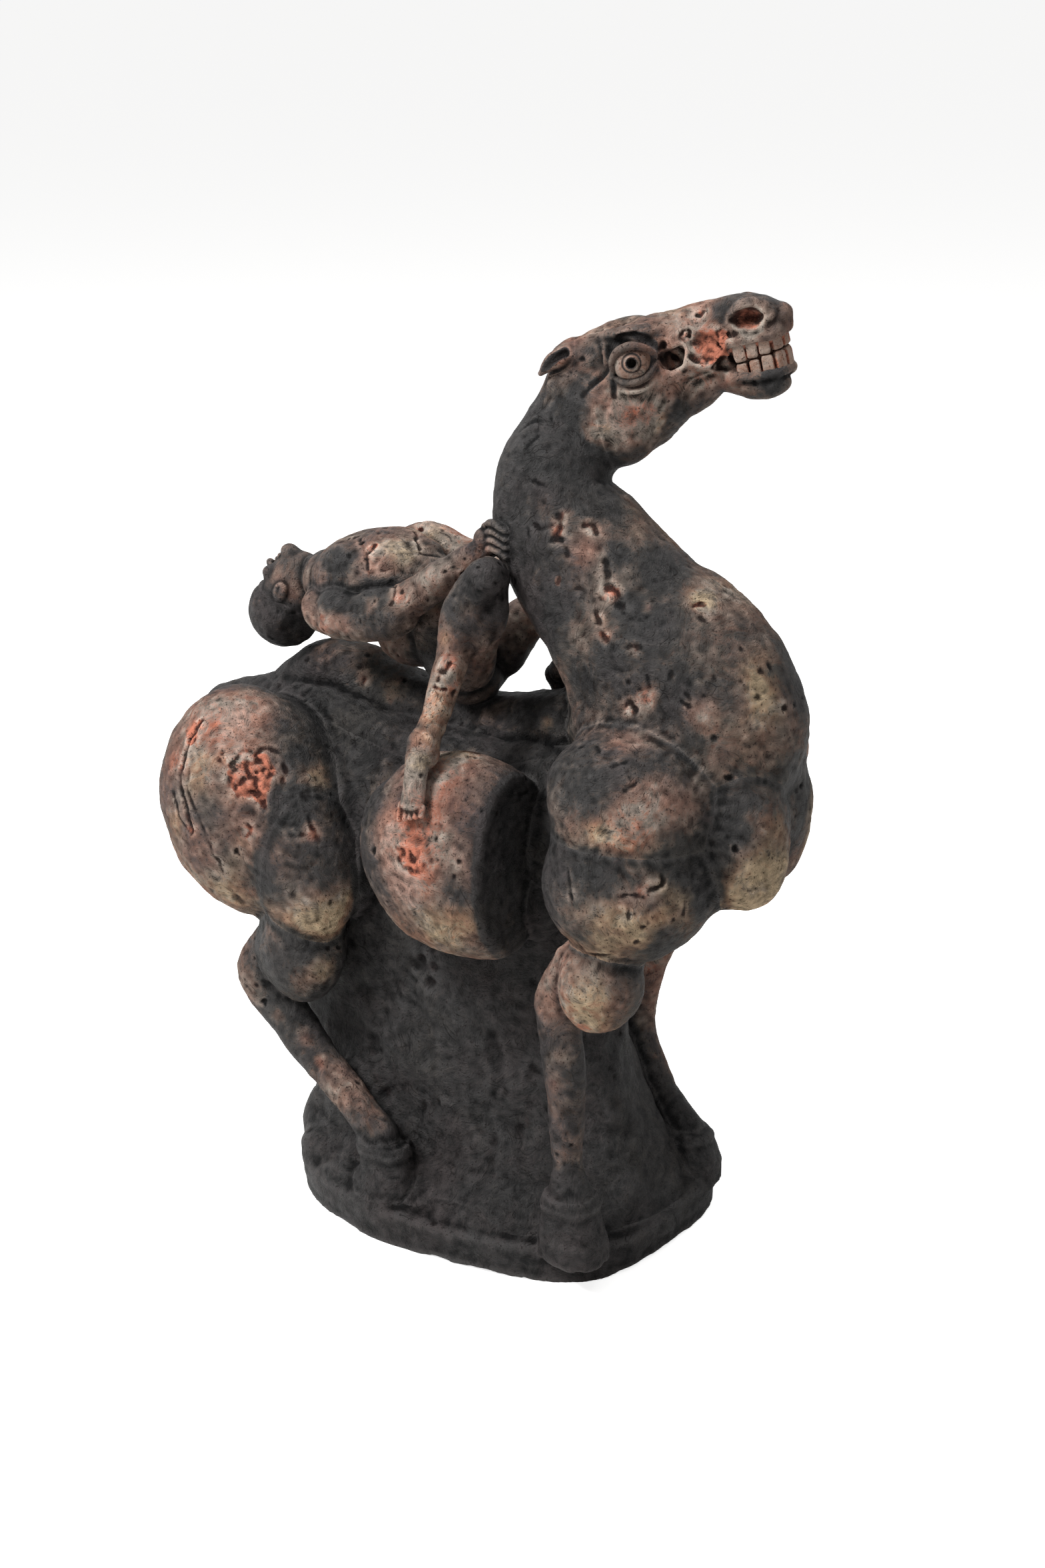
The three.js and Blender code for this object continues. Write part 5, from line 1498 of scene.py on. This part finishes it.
def buildTeeth():
    toothTones = dict(clayTones, body=("#5a4c46", "#a89689"), ochre=("#7a6a54", "#a8997f"), rose=("#5a443d", "#a07f73"))
    toothClay = smokeFiredTerracotta("pale slip on terracotta teeth", toothTones, fleck=0.7)
    count = 2 * int((quarterArch + teeth["middle"] - teeth["back"]) / teeth["pitch"])
    for row, direction in (("upper", 1), ("lower", -1)):
        name, tall = row + "_teeth", teeth[row + "Tall"]
        surfaces, gaps = [], []
        for k in range(count):
            distance = (k - (count - 1) / 2) * teeth["pitch"]
            places, faces, gap = toothSurface(distance, tall, direction, teeth["seed"] + k + 10 * direction)
            surfaces.append((places, faces))
            gaps.append(gap)
        surfaces.append(gumSurface(tall, direction))
        gap = np.concatenate([*gaps, np.ones(len(surfaces[-1][0]))])
        masks = dict(soot=0.12 + 0.05 * gap, rose=0.32 + 0.1 * gap, ochre=0.2, raw=0.05 + 0.75 * gap, mark=0.25 * gap,
                     worn=0.7)
        finishPiece(addPiece(name, joinedMesh(name, surfaces), masks), name, toothClay)


buildSkin()
buildEyes()
buildTeeth()
report("all pieces")


# Stage: a pale floor that runs out to white and keeps the shadow, and soft studio light
stage = dict(floor=60.0, glow=0.75, world=0.19, aim=(0, 0, 0.3))
lamps = dict(key=dict(place=(-0.8, -1.2, 1.8), size=0.7, power=90), top=dict(place=(0.2, 0.2, 2.0), size=1.4, power=22),
             fill=dict(place=(1.8, -0.6, 0.9), size=1.2, power=6))
# Camera: degrees round from the horse's right side and up, metres, and the focal length in pixels of the photo
camera = dict(azimuth=33, elevation=18.9, distance=1.456, aim=(0.009, 0.010, 0.262), focal=3700, tall=2352, sensor=36)


# A lamp or camera at its place, turned to look along a direction
def placeAimed(name, data, location, direction):
    holder = bpy.data.objects.new(name, data)
    holder.location = location
    holder.rotation_euler = Vector(direction).to_track_quat("-Z", "Y").to_euler()
    bpy.context.scene.collection.objects.link(holder)
    return holder


def studioFloor():
    half = stage["floor"]
    mesh = bpy.data.meshes.new("floor")
    mesh.from_pydata([(-half, -half, 0), (half, -half, 0), (half, half, 0), (-half, half, 0)], [], [(0, 1, 2, 3)])
    material = bpy.data.materials.new("pale studio floor")
    material.use_nodes = True
    tree = material.node_tree
    tree.nodes.clear()
    path = addNode(tree, "LightPath").outputs["Is Camera Ray"]
    matt = addNode(tree, "BsdfDiffuse", Color=linear("#f4f3f1")).outputs[0]
    glow = addNode(tree, "Emission", Color=(1, 1, 1, 1), Strength=stage["glow"]).outputs[0]
    lit = addNode(tree, "AddShader", i0=matt, i1=glow).outputs[0]
    mixed = addNode(tree, "MixShader", i0=path, i1=matt, i2=lit).outputs[0]
    addNode(tree, "OutputMaterial", Surface=mixed)
    mesh.materials.append(material)
    addPiece("floor", mesh, {})


def studioWorld():
    world = bpy.data.worlds.new("studio")
    bpy.context.scene.world = world
    world.use_nodes = True
    tree = world.node_tree
    tree.nodes.clear()
    path = addNode(tree, "LightPath").outputs
    seen = addNode(tree, "Math", dict(operation="MAXIMUM"), i0=path["Is Camera Ray"], i1=path["Is Glossy Ray"])
    strength = addNode(tree, "MapRange", i0=seen.outputs[0], i1=0.0, i2=1.0, i3=stage["world"], i4=1.0).outputs[0]
    sky = addNode(tree, "Background", Color=(1, 1, 1, 1), Strength=strength).outputs[0]
    addNode(tree, "OutputWorld", Surface=sky)


def softbox(name, settings):
    lamp = bpy.data.lights.new(name, "AREA")
    lamp.shape = "RECTANGLE"
    lamp.size = lamp.size_y = settings["size"]
    lamp.energy = settings["power"]
    placeAimed(name, lamp, settings["place"], np.subtract(stage["aim"], settings["place"]))


def studioCamera():
    lens = bpy.data.cameras.new("camera")
    lens.sensor_width = camera["sensor"]
    lens.lens = camera["focal"] / camera["tall"] * camera["sensor"]
    azimuth, elevation = math.radians(camera["azimuth"]), math.radians(camera["elevation"])
    level = math.cos(elevation)
    back = np.array([math.sin(azimuth) * level, -math.cos(azimuth) * level, math.sin(elevation)])
    bpy.context.scene.camera = placeAimed("camera", lens, camera["aim"] + camera["distance"] * back, -back)


studioFloor()
studioWorld()
for lampName, settings in lamps.items():
    softbox(lampName, settings)
studioCamera()
bpy.context.scene.view_settings.view_transform = "Standard"

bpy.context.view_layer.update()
report("scene")
